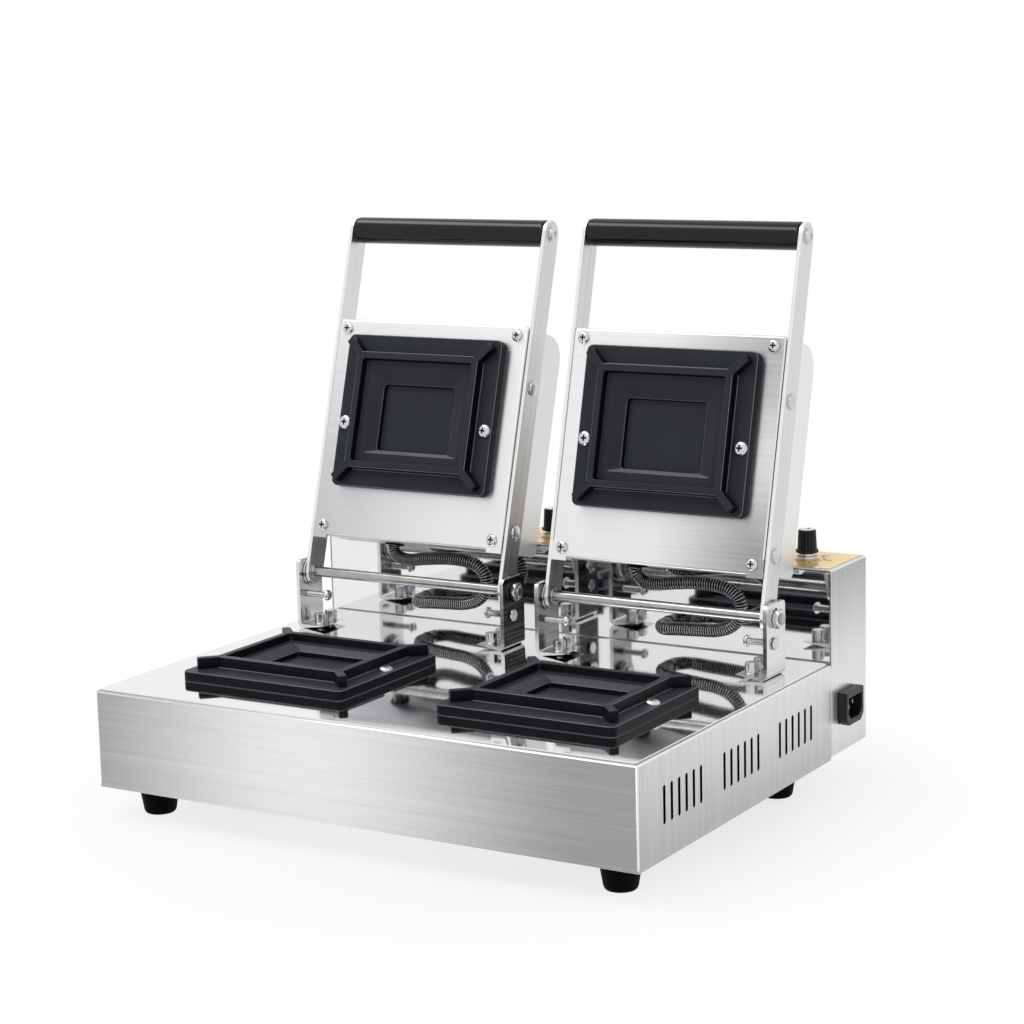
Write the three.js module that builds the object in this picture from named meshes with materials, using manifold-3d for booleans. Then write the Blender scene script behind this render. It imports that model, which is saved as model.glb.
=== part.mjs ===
// Double sandwich and waffle maker: two cast grills on a polished deck, two lids that
// swing up on pivot rods, and a control box behind with one thermostat for each head.
// Millimetres, +X to the right, +Y to the rear, +Z up. The base is drawn with the middle
// of its front bottom edge at zero, and the whole is then centred over its footprint.
import * as THREE from 'three';
import { mergeVertices } from 'three/addons/utils/BufferGeometryUtils.js';
import Module from 'manifold-3d';

// General clearances
const fit = 0.3; // between pieces that seat on or pass through each other
const overrun = 4; // how far a cutter runs past the faces that it cuts

// Base box
const sideMargin = 6.7; // from a pivot rod's tip to the base's side
const baseDepth = 293.5;
const baseHeight = 70; // walls' lower edge to the polished deck
const casingSheet = 1.2;
const foldRadius = 2.4;
const bottomHem = 9; // folded-under edge of the bottom plate
const deckSheet = 1;
const deckInset = 2.6;
const deckCornerRadius = 2;

// Side vents
const ventWidth = 3.6;
const ventHeight = 26;
const ventPitch = 10.3;
const ventsInGroup = 6;
const ventGroups = 3;
const ventGroupPitch = 85.8;
const ventMiddleHeight = 34.2;
const ventShoulderShare = 0.6; // of half a slot's width, cut off each corner

// Feet
const footTopDiameter = 30;
const footBottomDiameter = 23;
const footHeight = 23.8; // from the bottom plate to the table
const footEdgeRadius = 2;
const footInset = 30;
const footScrewDiameter = 8;
const footScrewDepth = 9;

// Control box
const controlDepth = 61.3;
const controlHeight = 138.3; // from the walls' lower edge
const frontPanelSheet = 1;
const wiringWindowWidth = 60;
const wiringWindowHeight = 24;
const wiringWindowFloor = 12;

// Power inlet, a C14 appliance inlet on the right
const inletLength = 30; // along the wall
const inletHeight = 25;
const inletProud = 7;
const inletInside = 16;
const inletNeckLength = 27;
const inletNeckHeight = 20;
const inletChamfer = 5;
const inletSocketLength = 23;
const inletSocketHeight = 16;
const inletSocketDepth = 17;
const inletSocketChamfer = 4;
const pinThickness = 2;
const pinWidth = 4;
const pinLength = 12;
const pinPitch = 7;
const pinStep = 3.4; // the middle pin sits this much lower
const inletSetback = 26; // its middle, behind the control box's front
const inletMiddleHeight = 33;

// Thermostats, dials and knobs
const dialOffset = 78.5; // from each head's middle to its knob
const dialSetback = 31.5; // from the control box's front to the knobs
const labelWidth = 100;
const labelDepth = 54;
const labelSheet = 0.4;
const labelOffset = -20; // from a dial to the middle of its label
const collarDiameter = 16.4;
const collarHeight = 4.2;
const knobSkirtDiameter = 16.8;
const knobSkirtHeight = 2.2;
const knobBaseDiameter = 14.6;
const knobGripHeight = 15.6;
const knobFlutes = 18;
const knobFluteDepth = 0.7;
const knobGap = 0.6; // running gap over the collar
const dialShaftDiameter = 6;
const dialShaftLength = 26;
const thermostatWidth = 36;
const thermostatDepth = 30;
const thermostatHeight = 22;
const bushDiameter = 9.5;
const dialTravel = 300; // degrees
const terminalWidth = 64;
const terminalDepth = 18;
const terminalHeight = 14;
const terminalBarriers = 5;
const barrierThickness = 2;
const barrierHeight = 5;
const terminalFloor = 30;

// Cast grills, the same casting below and above
const grillWidth = 139.2;
const grillDepth = 118.8;
const grillCornerRadius = 5;
const flangeThickness = 7.3;
const blockInset = 10;
const blockDepth = 11;
const rimMarginSide = 14.5;
const rimMarginEnd = 14;
const rimHeight = 8;
const rimWidth = 6;
const rimCornerRadius = 3;
const earWidth = 6.5;
const earReach = 9.5; // how far an ear runs out from the rim's corner, each way
const ledgeRise = 2.1; // above the flange's face
const ledgeWidth = 6.9;
const slopeDrop = 3.5; // from the ledge down to the well's edge
const wellWidth = 64.8;
const wellLength = 51.6;
const wellDepth = 4;
const wellCornerRadius = 3;
const upperWellOffset = 4.2; // towards the pivot
const lowerFlangeLip = 6.1; // how much further the lower flange runs to the front

// Heating elements under the castings
const elementDiameter = 6.5;
const elementSpread = 74;
const elementLength = 78;
const elementCornerRadius = 20;
const elementSteps = 20;
const elementArcSteps = 4;

// Heads and their pivots
const headGap = 5.4; // between the tips of the two pivot rods
const pivotFromRear = 55.5; // in front of the base's rear
const closedGap = 0.5; // between the rims when a lid is down
const leftLeanDegrees = 16.5; // back from upright, as the lids rest open
const rightLeanDegrees = 14.3;
const armSpan = 172.6; // clear width between a head's arms
const armWidth = 20;
const armThickness = 3;
const armLength = 271.6; // pivot to handle
const pivotRodDiameter = 8;
const pivotNutAcross = 13;
const pivotNutHeight = 6.5;
const spacerDiameter = 22;
const spacerThickness = 1.6;

// Pivot brackets
const bracketSheet = 3;
const bracketWidth = 30;
const bracketHeight = 54;
const bracketFoot = 25;
const bracketBend = 4.5; // outer radius
const bracketTopRadius = 3;
const slotWidth = 8.6;
const slotHeight = 15;
const footBoltPitch = 14;
const footBoltHole = 6.4;
const footBoltInset = 9; // from the foot's tip
const stopScrewDiameter = 5;
const stopScrewReach = 18; // inward of the bracket
const stopScrewHead = 8.6;
const stopScrewHeadHeight = 3;
const stopScrewTail = 1.6; // flush nut on the outside
const stopScrewDrop = 17.5; // below the pivot
const stopScrewSetback = -3; // against the pivot, to the front

// Lid frame plate and back cover
const framePlateRise = 28.5; // pivot to the plate's lower edge
const frameMarginBottom = 38.6; // from the plate's lower edge to the casting
const frameMarginTop = 12.6;
const frameSheet = 1.5;
const frameLip = 9;
const frameCornerRadius = 2;
const tabWidth = 13;
const tabDrop = 2.2;
const coverDepth = 44.6; // behind the arms' middle line
const coverTopRadius = 18;
const coverBottomRadius = 6;
const coverSheet = 1.2;

// Handle
const gripDiameter = 20.5;
const gripEdgeRadius = 2;
const handleRodDiameter = 6;
const screwHeadDiameter = 11;
const screwHeadHeight = 2.6;

// Flexible metal conduits from the control box to the lids
const hoseDiameter = 10;
const hoseValleyDiameter = 8.4;
const hoseBore = 6.4;
const hoseRibs = 80;
const hoseSides = 8;
const ribsPerBoreRing = 5;
const hoseHoleDiameter = 11.6;
const hoseLidSide = -34; // the lid's hose hole, from the head's middle
const hoseLidSetback = 27; // behind the arms' middle line
const hoseInLid = 8; // how far the end reaches inside the cover
const hosePanelSide = -21;
const hosePanelRise = 17; // above the deck
const glandDiameter = 17;
const glandThickness = 3.4;

// Finishes
const steelColour = 0xc9cacb;
const mirrorColour = 0xe2e3e4;
const castColour = 0x26282d;
const rubberColour = 0x141416;
const plasticColour = 0x18191b;
const zincColour = 0xb9bbbd;
const conduitColour = 0x77797b;
const elementColour = 0x6a6a66;
const labelColour = 0xe6bf5c;

// Values worked out from the above
const halfTurn = Math.PI;
const degree = halfTurn / 180;
const deckTop = baseHeight;
const hosePanelHeight = deckTop + hosePanelRise;
const shellTop = baseHeight - deckSheet;
const controlTop = controlHeight;
const controlRear = baseDepth + fit + controlDepth;
const armGapHalf = armSpan / 2;
const armOuterHalf = armGapHalf + armThickness;
const bracketInnerHalf = armOuterHalf + spacerThickness + 2 * fit;
const bracketOuterHalf = bracketInnerHalf + bracketSheet;
const frameHalf = armGapHalf - fit;
const frameFront = armWidth / 2 + frameSheet; // in front of the arms' middle line
const castingStack = flangeThickness + rimHeight;
const pivotNutEnd = bracketOuterHalf + fit + pivotNutHeight;
const pivotRodEnd = pivotNutEnd + pivotRodDiameter / 2;
const headSpacing = 2 * pivotRodEnd + headGap;
const baseWidth = headSpacing + 2 * (pivotRodEnd + sideMargin);
const pivotSetback = baseDepth - pivotFromRear;
const pivotHeight = deckTop + 2 * castingStack + closedGap + fit + frameFront;
const blockWidth = grillWidth - 2 * blockInset;
const blockLength = grillDepth - 2 * blockInset;
const grillRise = framePlateRise + frameMarginBottom + grillDepth / 2; // to its middle
const framePlateHeight = frameMarginBottom + grillDepth + frameMarginTop;
const coverHalf = frameHalf - frameSheet - fit;
const coverFront = armWidth / 2 - fit;
const lowerGrillMiddle = pivotSetback - grillRise;
const dialDepth = baseDepth + dialSetback;

const wasm = await Module();
wasm.setup();

function material(name, color, roughness, metalness) {
  const finish = new THREE.MeshStandardMaterial({ color, roughness, metalness });
  finish.name = name;
  return finish;
}

const finishes = {
  brushed: material('brushed_steel', steelColour, 0.35, 1),
  mirror: material('mirror_steel', mirrorColour, 0.05, 1),
  cast: material('non_stick_casting', castColour, 0.5, 0),
  rubber: material('rubber', rubberColour, 0.8, 0),
  plastic: material('black_plastic', plasticColour, 0.4, 0),
  zinc: material('plated_steel', zincColour, 0.3, 1),
  conduit: material('conduit_steel', conduitColour, 0.4, 1),
  element: material('element_sheath', elementColour, 0.5, 1),
  label: material('dial_label', labelColour, 0.45, 0),
};

// Turns a closed geometry into a solid that can be cut and joined
function solid(geometry) {
  const bare = geometry.index ? geometry.toNonIndexed() : geometry.clone();
  for (const name of Object.keys(bare.attributes)) {
    if (name !== 'position') bare.deleteAttribute(name);
  }
  const merged = mergeVertices(bare, 1e-5);
  const mesh = new wasm.Mesh({
    numProp: 3,
    vertProperties: new Float32Array(merged.attributes.position.array),
    triVerts: new Uint32Array(merged.index.array),
  });
  return new wasm.Manifold(mesh);
}

function geometryOf(manifold) {
  const mesh = manifold.getMesh();
  const geometry = new THREE.BufferGeometry();
  geometry.setAttribute('position', new THREE.BufferAttribute(mesh.vertProperties, 3));
  geometry.setIndex(new THREE.BufferAttribute(mesh.triVerts, 1));
  geometry.computeVertexNormals();
  return geometry;
}

function join(first, ...others) {
  return others.reduce((sum, next) => sum.add(next), first);
}

function cut(first, ...others) {
  return others.reduce((rest, next) => rest.subtract(next), first);
}

function common(first, ...others) {
  return others.reduce((rest, next) => rest.intersect(next), first);
}

function node(parent, name, shape, finish) {
  const geometry = shape.isBufferGeometry ? shape : geometryOf(shape);
  const mesh = new THREE.Mesh(geometry, finish);
  mesh.name = name;
  parent.add(mesh);
  return mesh;
}

// A box given by its lowest and highest corners
function block(x0, y0, z0, x1, y1, z1) {
  const geometry = new THREE.BoxGeometry(x1 - x0, y1 - y0, z1 - z0);
  geometry.translate((x0 + x1) / 2, (y0 + y1) / 2, (z0 + z1) / 2);
  return solid(geometry);
}

// A rectangle with round corners, centred on zero
function roundedRectangle(width, height, radius) {
  const outline = new THREE.Shape();
  const right = width / 2 - radius;
  const top = height / 2 - radius;
  outline.absarc(right, top, radius, 0, halfTurn / 2);
  outline.absarc(-right, top, radius, halfTurn / 2, halfTurn);
  outline.absarc(-right, -top, radius, halfTurn, 1.5 * halfTurn);
  outline.absarc(right, -top, radius, 1.5 * halfTurn, 2 * halfTurn);
  return outline;
}

function polygon(points) {
  return new THREE.Shape(points.map(([x, y]) => new THREE.Vector2(x, y)));
}

function extrude(outline, depth, arcSteps = 1) {
  const options = { depth, bevelEnabled: false, curveSegments: arcSteps };
  return new THREE.ExtrudeGeometry(outline, options);
}

// Upright slab of a rounded rectangle, from z0 to z1 over (x, y)
function slab(width, depth, radius, x, y, z0, z1) {
  const geometry = extrude(roundedRectangle(width, depth, radius), z1 - z0);
  geometry.translate(x, y, z0);
  return solid(geometry);
}

// Outline drawn in (y, z), run along X from x0 to x1
function alongX(outline, x0, x1, arcSteps = 1) {
  const geometry = extrude(outline, x1 - x0, arcSteps);
  const turn = new THREE.Matrix4().makeBasis(
    new THREE.Vector3(0, 1, 0),
    new THREE.Vector3(0, 0, 1),
    new THREE.Vector3(1, 0, 0),
  );
  geometry.applyMatrix4(turn);
  geometry.translate(x0, 0, 0);
  return solid(geometry);
}

// Outline drawn in (x, z), run along Y from y0 to y1
function alongY(outline, y0, y1, arcSteps = 1) {
  const geometry = extrude(outline, y1 - y0, arcSteps);
  geometry.rotateX(halfTurn / 2);
  geometry.translate(0, y1, 0);
  return solid(geometry);
}

// Round bar about the given axis, starting at (x, y, z)
function bar(axis, diameter, length, x, y, z, sides = 20) {
  const geometry = new THREE.CylinderGeometry(diameter / 2, diameter / 2, length, sides);
  geometry.translate(0, length / 2, 0);
  if (axis === 'x') geometry.rotateZ(-halfTurn / 2);
  if (axis === 'z') geometry.rotateX(halfTurn / 2);
  geometry.translate(x, y, z);
  return solid(geometry);
}

function lathe(profile, sides) {
  const points = profile.map(([radius, height]) => new THREE.Vector2(radius, height));
  const geometry = new THREE.LatheGeometry(points, sides);
  geometry.rotateX(halfTurn / 2);
  return solid(geometry);
}

function moved(manifold, x, y, z) {
  return manifold.translate([x, y, z]);
}

// Box with every outer edge rounded: three rounded prisms in common
function foldedBox(width, depth, height, radius) {
  const plan = slab(width, depth, radius, 0, 0, 0, height);
  const front = alongY(roundedRectangle(width, height, radius), -depth / 2, depth / 2);
  const side = alongX(roundedRectangle(depth, height, radius), -width / 2, width / 2);
  const lift = height / 2;
  return common(plan, moved(front, 0, 0, lift), moved(side, 0, 0, lift));
}

// Base box and control box

function ventSlots() {
  const slots = [];
  const half = ventWidth / 2;
  const shoulder = half * ventShoulderShare;
  const end = ventHeight / 2;
  const outline = polygon([
    [half, shoulder - end], [half, end - shoulder], [half - shoulder, end],
    [shoulder - half, end], [-half, end - shoulder], [-half, shoulder - end],
    [shoulder - half, -end], [half - shoulder, -end],
  ]);
  for (const side of [-1, 1]) {
    const wall = side * (baseWidth / 2 - casingSheet / 2);
    const reach = casingSheet / 2 + overrun;
    const slot = alongX(outline, wall - reach, wall + reach);
    for (let group = 0; group < ventGroups; group += 1) {
      const middle = baseDepth / 2 + (group - (ventGroups - 1) / 2) * ventGroupPitch;
      for (let index = 0; index < ventsInGroup; index += 1) {
        const y = middle + (index - (ventsInGroup - 1) / 2) * ventPitch;
        slots.push(moved(slot, 0, y, ventMiddleHeight));
      }
    }
  }
  return slots;
}

function wiringWindow() {
  return block(
    -wiringWindowWidth / 2, baseDepth - overrun, wiringWindowFloor,
    wiringWindowWidth / 2, baseDepth + frontPanelSheet + overrun,
    wiringWindowFloor + wiringWindowHeight,
  );
}

function headMiddles() {
  return [['left', -headSpacing / 2, leftLeanDegrees], ['right', headSpacing / 2, rightLeanDegrees]];
}

function grillCutout(x, z0, z1) {
  const width = blockWidth + 2 * fit;
  const depth = blockLength + 2 * fit;
  return slab(width, depth, grillCornerRadius, x, lowerGrillMiddle, z0, z1);
}

// Front, sides and top in one. The control box's front panel closes it at the rear
function baseShell() {
  const half = baseWidth / 2;
  const depth = baseDepth + foldRadius;
  const outer = foldedBox(baseWidth, depth, shellTop + foldRadius, foldRadius);
  const room = block(
    casingSheet - half, casingSheet, -overrun,
    half - casingSheet, baseDepth + overrun, shellTop - casingSheet,
  );
  const below = block(
    -half - overrun, -overrun, -foldRadius - overrun,
    half + overrun, depth + overrun, 0,
  );
  const behind = block(
    -half - overrun, baseDepth, -overrun,
    half + overrun, depth + overrun, shellTop + overrun,
  );
  const cutouts = headMiddles().map(
    ([, x]) => grillCutout(x, shellTop - casingSheet - overrun, shellTop + overrun),
  );
  const shell = cut(moved(outer, 0, depth / 2, -foldRadius), room, below, behind);
  return cut(shell, ...cutouts, ...ventSlots());
}

function polishedDeck() {
  const width = baseWidth - 2 * deckInset;
  const depth = baseDepth - 2 * deckInset;
  const sheet = slab(width, depth, deckCornerRadius, 0, baseDepth / 2, shellTop, deckTop);
  const cutouts = headMiddles().map(
    ([, x]) => grillCutout(x, shellTop - overrun, deckTop + overrun),
  );
  return cut(sheet, ...cutouts);
}

// Plate that the walls stand on, its edges folded under
function bottomPlate() {
  const hem = fit + bottomHem;
  const plate = block(
    fit - baseWidth / 2, fit, -2 * casingSheet,
    baseWidth / 2 - fit, baseDepth - fit, 0,
  );
  const recess = block(
    hem - baseWidth / 2, hem, -2 * casingSheet - overrun,
    baseWidth / 2 - hem, baseDepth - hem, -casingSheet,
  );
  return cut(plate, recess);
}

function foot() {
  const top = footTopDiameter / 2;
  const bottom = footBottomDiameter / 2;
  const screw = footScrewDiameter / 2;
  const ceiling = footScrewDepth - footHeight;
  return lathe([
    [0, ceiling],
    [screw, ceiling],
    [screw, -footHeight],
    [bottom - footEdgeRadius, -footHeight],
    [bottom, footEdgeRadius - footHeight],
    [top, -footEdgeRadius],
    [top, 0],
    [0, 0],
  ], 16);
}

function inletHole() {
  const y = baseDepth + inletSetback;
  const half = inletNeckLength / 2 + fit;
  const rise = inletNeckHeight / 2 + fit;
  return block(
    baseWidth / 2 - casingSheet - overrun, y - half, inletMiddleHeight - rise,
    baseWidth / 2 + overrun, y + half, inletMiddleHeight + rise,
  );
}

function controlShell() {
  const half = baseWidth / 2;
  const front = baseDepth + fit;
  const outline = roundedRectangle(baseWidth, 2 * controlTop, foldRadius);
  const outer = alongY(outline, front, controlRear, 2);
  const below = block(
    -half - overrun, front - overrun, -controlTop - overrun,
    half + overrun, controlRear + overrun, 0,
  );
  const room = block(
    casingSheet - half, front - overrun, -overrun,
    half - casingSheet, controlRear + overrun, controlTop - casingSheet,
  );
  const holes = headMiddles().map(([, x]) => bar(
    'z', bushDiameter + 2 * fit, casingSheet + 2 * overrun,
    x + dialOffset, dialDepth, controlTop - casingSheet - overrun,
  ));
  return cut(outer, below, room, inletHole(), ...holes);
}

function controlFrontPanel() {
  const half = baseWidth / 2 - casingSheet - fit;
  const front = baseDepth + 2 * fit;
  const panel = block(
    -half, front, casingSheet, half, front + frontPanelSheet, controlTop - casingSheet - fit,
  );
  const holes = headMiddles().map(([, x]) => bar(
    'y', hoseHoleDiameter, frontPanelSheet + 2 * overrun,
    x + hosePanelSide, front - overrun, hosePanelHeight,
  ));
  return cut(panel, wiringWindow(), ...holes);
}

function controlBackPlate() {
  const half = baseWidth / 2 - casingSheet - fit;
  const rear = controlRear - casingSheet;
  const floorFront = baseDepth + 3 * fit + frontPanelSheet;
  const wall = block(
    -half, rear - casingSheet, 0, half, rear, controlTop - casingSheet - fit,
  );
  const floor = block(-half, floorFront, 0, half, rear, casingSheet);
  return join(wall, floor);
}

function powerInlet() {
  const chamfered = (length, height, chamfer) => polygon([
    [-length / 2, chamfer - height / 2],
    [chamfer - length / 2, -height / 2],
    [length / 2 - chamfer, -height / 2],
    [length / 2, chamfer - height / 2],
    [length / 2, height / 2],
    [-length / 2, height / 2],
  ]);
  const wall = baseWidth / 2;
  const face = wall + fit + inletProud;
  const bezel = alongX(chamfered(inletLength, inletHeight, inletChamfer), wall + fit, face);
  const neck = alongX(
    chamfered(inletNeckLength, inletNeckHeight, inletChamfer), wall - inletInside, face,
  );
  const socket = alongX(
    chamfered(inletSocketLength, inletSocketHeight, inletSocketChamfer),
    face - inletSocketDepth, face + overrun,
  );
  const pins = [-1, 0, 1].map((place) => {
    const lift = place === 0 ? -pinStep / 2 : pinStep / 2;
    const y = place * pinPitch;
    return block(
      face - inletSocketDepth - fit, y - pinThickness / 2, lift - pinWidth / 2,
      face - inletSocketDepth + pinLength, y + pinThickness / 2, lift + pinWidth / 2,
    );
  });
  const body = join(cut(join(bezel, neck), socket), ...pins);
  return moved(body, 0, baseDepth + inletSetback, inletMiddleHeight);
}

function terminalBlock() {
  const rear = controlRear - 2 * casingSheet;
  const body = block(
    -terminalWidth / 2, rear - terminalDepth, terminalFloor,
    terminalWidth / 2, rear, terminalFloor + terminalHeight,
  );
  const pitch = (terminalWidth - barrierThickness) / (terminalBarriers - 1);
  const barriers = [];
  for (let index = 0; index < terminalBarriers; index += 1) {
    const x = index * pitch - terminalWidth / 2;
    barriers.push(block(
      x, rear - terminalDepth - barrierHeight, terminalFloor,
      x + barrierThickness, rear, terminalFloor + terminalHeight + barrierHeight,
    ));
  }
  return join(body, ...barriers);
}

// Dials and knobs, drawn about their own axis with the casing's top at zero

function dialLabel(labelMiddle, dialMiddle) {
  const middleDepth = baseDepth + fit + controlDepth / 2;
  const sheet = block(
    labelMiddle - labelWidth / 2, middleDepth - labelDepth / 2, controlTop,
    labelMiddle + labelWidth / 2, middleDepth + labelDepth / 2, controlTop + labelSheet,
  );
  const hole = bar(
    'z', bushDiameter + 2 * fit, labelSheet + 2 * overrun,
    dialMiddle, dialDepth, controlTop - overrun,
  );
  return cut(sheet, hole);
}

function dialCollar() {
  const outer = bar('z', collarDiameter, collarHeight, 0, 0, labelSheet, 24);
  const bore = bar('z', bushDiameter + 2 * fit, collarHeight + 2 * overrun, 0, 0, -overrun);
  return cut(outer, bore);
}

function thermostat() {
  const body = block(
    -thermostatWidth / 2, -thermostatDepth / 2, -casingSheet - thermostatHeight,
    thermostatWidth / 2, thermostatDepth / 2, -casingSheet,
  );
  const bush = bar(
    'z', bushDiameter, casingSheet + labelSheet + collarHeight + fit, 0, 0, -casingSheet - fit,
  );
  const bore = bar(
    'z', dialShaftDiameter + 2 * fit, dialShaftLength + overrun,
    0, 0, -casingSheet - thermostatHeight / 2,
  );
  return cut(join(body, bush), bore);
}

function dialShaft() {
  const floor = fit - casingSheet - thermostatHeight / 2;
  return bar('z', dialShaftDiameter, dialShaftLength, 0, 0, floor, 16);
}

function knob() {
  const floor = labelSheet + collarHeight + knobGap;
  const skirtTop = floor + knobSkirtHeight;
  const base = knobBaseDiameter / 2;
  const skirt = lathe([
    [0, floor],
    [knobSkirtDiameter / 2, floor],
    [knobSkirtDiameter / 2, floor + knobSkirtHeight / 2],
    [base, skirtTop],
    [0, skirtTop],
  ], knobFlutes);
  const corners = [];
  for (let index = 0; index < 2 * knobFlutes; index += 1) {
    const angle = (halfTurn * index) / knobFlutes;
    const reach = index % 2 === 0 ? base : base - knobFluteDepth;
    corners.push([reach * Math.cos(angle), reach * Math.sin(angle)]);
  }
  const grip = extrude(polygon(corners), knobGripHeight + fit);
  const fluted = moved(solid(grip), 0, 0, skirtTop - fit);
  const shaftTop = fit - casingSheet - thermostatHeight / 2 + dialShaftLength;
  const bore = bar(
    'z', dialShaftDiameter + 2 * fit, shaftTop + fit - floor + overrun,
    0, 0, floor - overrun, 16,
  );
  return cut(join(skirt, fluted), bore);
}

// Pit whose four sides slope in evenly from its mouth to its floor
function taperedPit(mouth, floor, shift, top, bottom) {
  const geometry = new THREE.BoxGeometry(mouth[0], mouth[1], top - bottom);
  const corners = geometry.attributes.position;
  for (let index = 0; index < corners.count; index += 1) {
    if (corners.getZ(index) < 0) {
      const x = Math.sign(corners.getX(index)) * floor[0];
      const y = Math.sign(corners.getY(index)) * floor[1];
      corners.setXY(index, x / 2, y / 2 + shift);
    }
  }
  geometry.translate(0, 0, (top + bottom) / 2);
  return solid(geometry);
}

// Cast grill, drawn with its flange on zero and its cooking face up

function grillCasting(wellShift, frontLip) {
  const face = flangeThickness;
  const top = face + rimHeight;
  const ledge = face + ledgeRise;
  const wellEdge = ledge - slopeDrop;
  const rimOuterWidth = grillWidth - 2 * rimMarginSide;
  const rimOuterDepth = grillDepth - 2 * rimMarginEnd;
  const rimInnerWidth = rimOuterWidth - 2 * rimWidth;
  const rimInnerDepth = rimOuterDepth - 2 * rimWidth;
  const flangeDepth = grillDepth + frontLip;
  const flange = slab(grillWidth, flangeDepth, grillCornerRadius, 0, -frontLip / 2, 0, face);
  const lowerBlock = slab(blockWidth, blockLength, grillCornerRadius, 0, 0, -blockDepth, fit);
  const rim = slab(rimOuterWidth, rimOuterDepth, rimCornerRadius, 0, 0, face - fit, top);
  const ears = [];
  for (const across of [-1, 1]) {
    for (const along of [-1, 1]) {
      const x = across * (rimOuterWidth / 2 - rimWidth / 2);
      const y = along * (rimOuterDepth / 2 - rimWidth / 2);
      const run = (earReach + rimWidth / 2) * Math.SQRT2;
      const bridge = block(0, -earWidth / 2, face - fit, run, earWidth / 2, top);
      const angle = Math.atan2(along, across) / degree;
      ears.push(moved(bridge.rotate([0, 0, angle]), x, y, 0));
    }
  }
  const pocket = slab(
    rimInnerWidth, rimInnerDepth, wellCornerRadius, 0, 0, ledge, top + overrun,
  );
  const mouth = [rimInnerWidth - 2 * ledgeWidth, rimInnerDepth - 2 * ledgeWidth];
  const slope = taperedPit(mouth, [wellWidth, wellLength], wellShift, ledge, wellEdge);
  const well = slab(
    wellWidth, wellLength, wellCornerRadius, 0, wellShift, wellEdge - wellDepth, ledge,
  );
  return cut(join(flange, lowerBlock, rim, ...ears), pocket, slope, well);
}

// Tubular heating element, one flat loop whose ends point to the rear

function heatingElement() {
  const half = elementSpread / 2;
  const rear = elementLength / 2;
  const front = elementCornerRadius - elementLength / 2;
  const bend = half - elementCornerRadius;
  const at = (x, y) => new THREE.Vector3(x, y, 0);
  const path = new THREE.CurvePath();
  path.add(new THREE.LineCurve3(at(-half, rear), at(-half, front)));
  path.add(new THREE.QuadraticBezierCurve3(
    at(-half, front), at(-half, -elementLength / 2), at(-bend, -elementLength / 2),
  ));
  path.add(new THREE.LineCurve3(at(-bend, -elementLength / 2), at(bend, -elementLength / 2)));
  path.add(new THREE.QuadraticBezierCurve3(
    at(bend, -elementLength / 2), at(half, -elementLength / 2), at(half, front),
  ));
  path.add(new THREE.LineCurve3(at(half, front), at(half, rear)));
  const section = new THREE.Shape();
  section.absarc(0, 0, elementDiameter / 2, 0, 2 * halfTurn);
  const geometry = new THREE.ExtrudeGeometry(section, {
    steps: elementSteps,
    extrudePath: path,
    curveSegments: elementArcSteps,
  });
  geometry.translate(0, 0, -blockDepth - fit - elementDiameter / 2);
  return geometry;
}

// Pivot hardware, drawn in the lid's frame: X across, pivot at zero

// Outline of a flat bar with round ends, from the pivot up to the handle
function armOutline() {
  const radius = armWidth / 2;
  const outline = new THREE.Shape();
  outline.absarc(0, 0, radius, halfTurn, 2 * halfTurn);
  outline.absarc(0, armLength, radius, 0, halfTurn);
  return outline;
}

function arm(side) {
  const inner = side * armGapHalf;
  const outer = side * armOuterHalf;
  const start = Math.min(inner, outer);
  const strip = alongX(armOutline(), start, start + armThickness, 5);
  const length = armThickness + 2 * overrun;
  const pivotHole = bar('x', pivotRodDiameter + 2 * fit, length, start - overrun, 0, 0);
  const handleHole = bar(
    'x', handleRodDiameter + 2 * fit, length, start - overrun, 0, armLength, 12,
  );
  return cut(strip, pivotHole, handleHole);
}

function framePlate() {
  const front = -frameFront;
  const back = front + frameSheet;
  const lower = framePlateRise;
  const upper = framePlateRise + framePlateHeight;
  const middle = (lower + upper) / 2;
  const outer = alongY(
    roundedRectangle(2 * frameHalf, framePlateHeight, frameCornerRadius), front, front + frameLip,
  );
  const pan = block(
    frameSheet - frameHalf, back, lower - overrun,
    frameHalf - frameSheet, front + frameLip + overrun, upper + overrun,
  );
  const window = roundedRectangle(
    blockWidth + 2 * fit, blockLength + 2 * fit, grillCornerRadius,
  );
  const opening = moved(alongY(window, front - overrun, back + overrun), 0, 0, grillRise);
  const tabs = [-1, 1].map((side) => {
    const outerEdge = side * frameHalf;
    const innerEdge = side * (frameHalf - tabWidth);
    return block(
      Math.min(outerEdge, innerEdge), front, lower - tabDrop,
      Math.max(outerEdge, innerEdge), back, lower + tabWidth,
    );
  });
  const plate = join(moved(outer, 0, 0, middle), ...tabs);
  return cut(plate, pan, opening);
}

// Side outline of the back cover in (y, z): a pan with a large top bend
function coverOutline(inset) {
  const rear = coverDepth - inset;
  const lower = framePlateRise + fit + inset;
  const upper = framePlateRise + framePlateHeight - fit - inset;
  const topBend = coverTopRadius - inset;
  const bottomBend = coverBottomRadius - inset;
  const mouth = inset === 0 ? -coverFront : -coverFront - overrun;
  const outline = new THREE.Shape();
  outline.moveTo(mouth, lower);
  outline.absarc(rear - bottomBend, lower + bottomBend, bottomBend, -halfTurn / 2, 0);
  outline.absarc(rear - topBend, upper - topBend, topBend, 0, halfTurn / 2);
  outline.lineTo(mouth, upper);
  return outline;
}

function backCover() {
  const inner = coverHalf - coverSheet;
  const outside = alongX(coverOutline(0), -coverHalf, coverHalf, 3);
  const inside = alongX(coverOutline(coverSheet), -inner, inner, 3);
  const hoseHole = bar(
    'z', hoseHoleDiameter, coverSheet + 2 * overrun,
    hoseLidSide, hoseLidSetback, framePlateRise + fit - overrun,
  );
  return cut(outside, inside, hoseHole);
}

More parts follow.
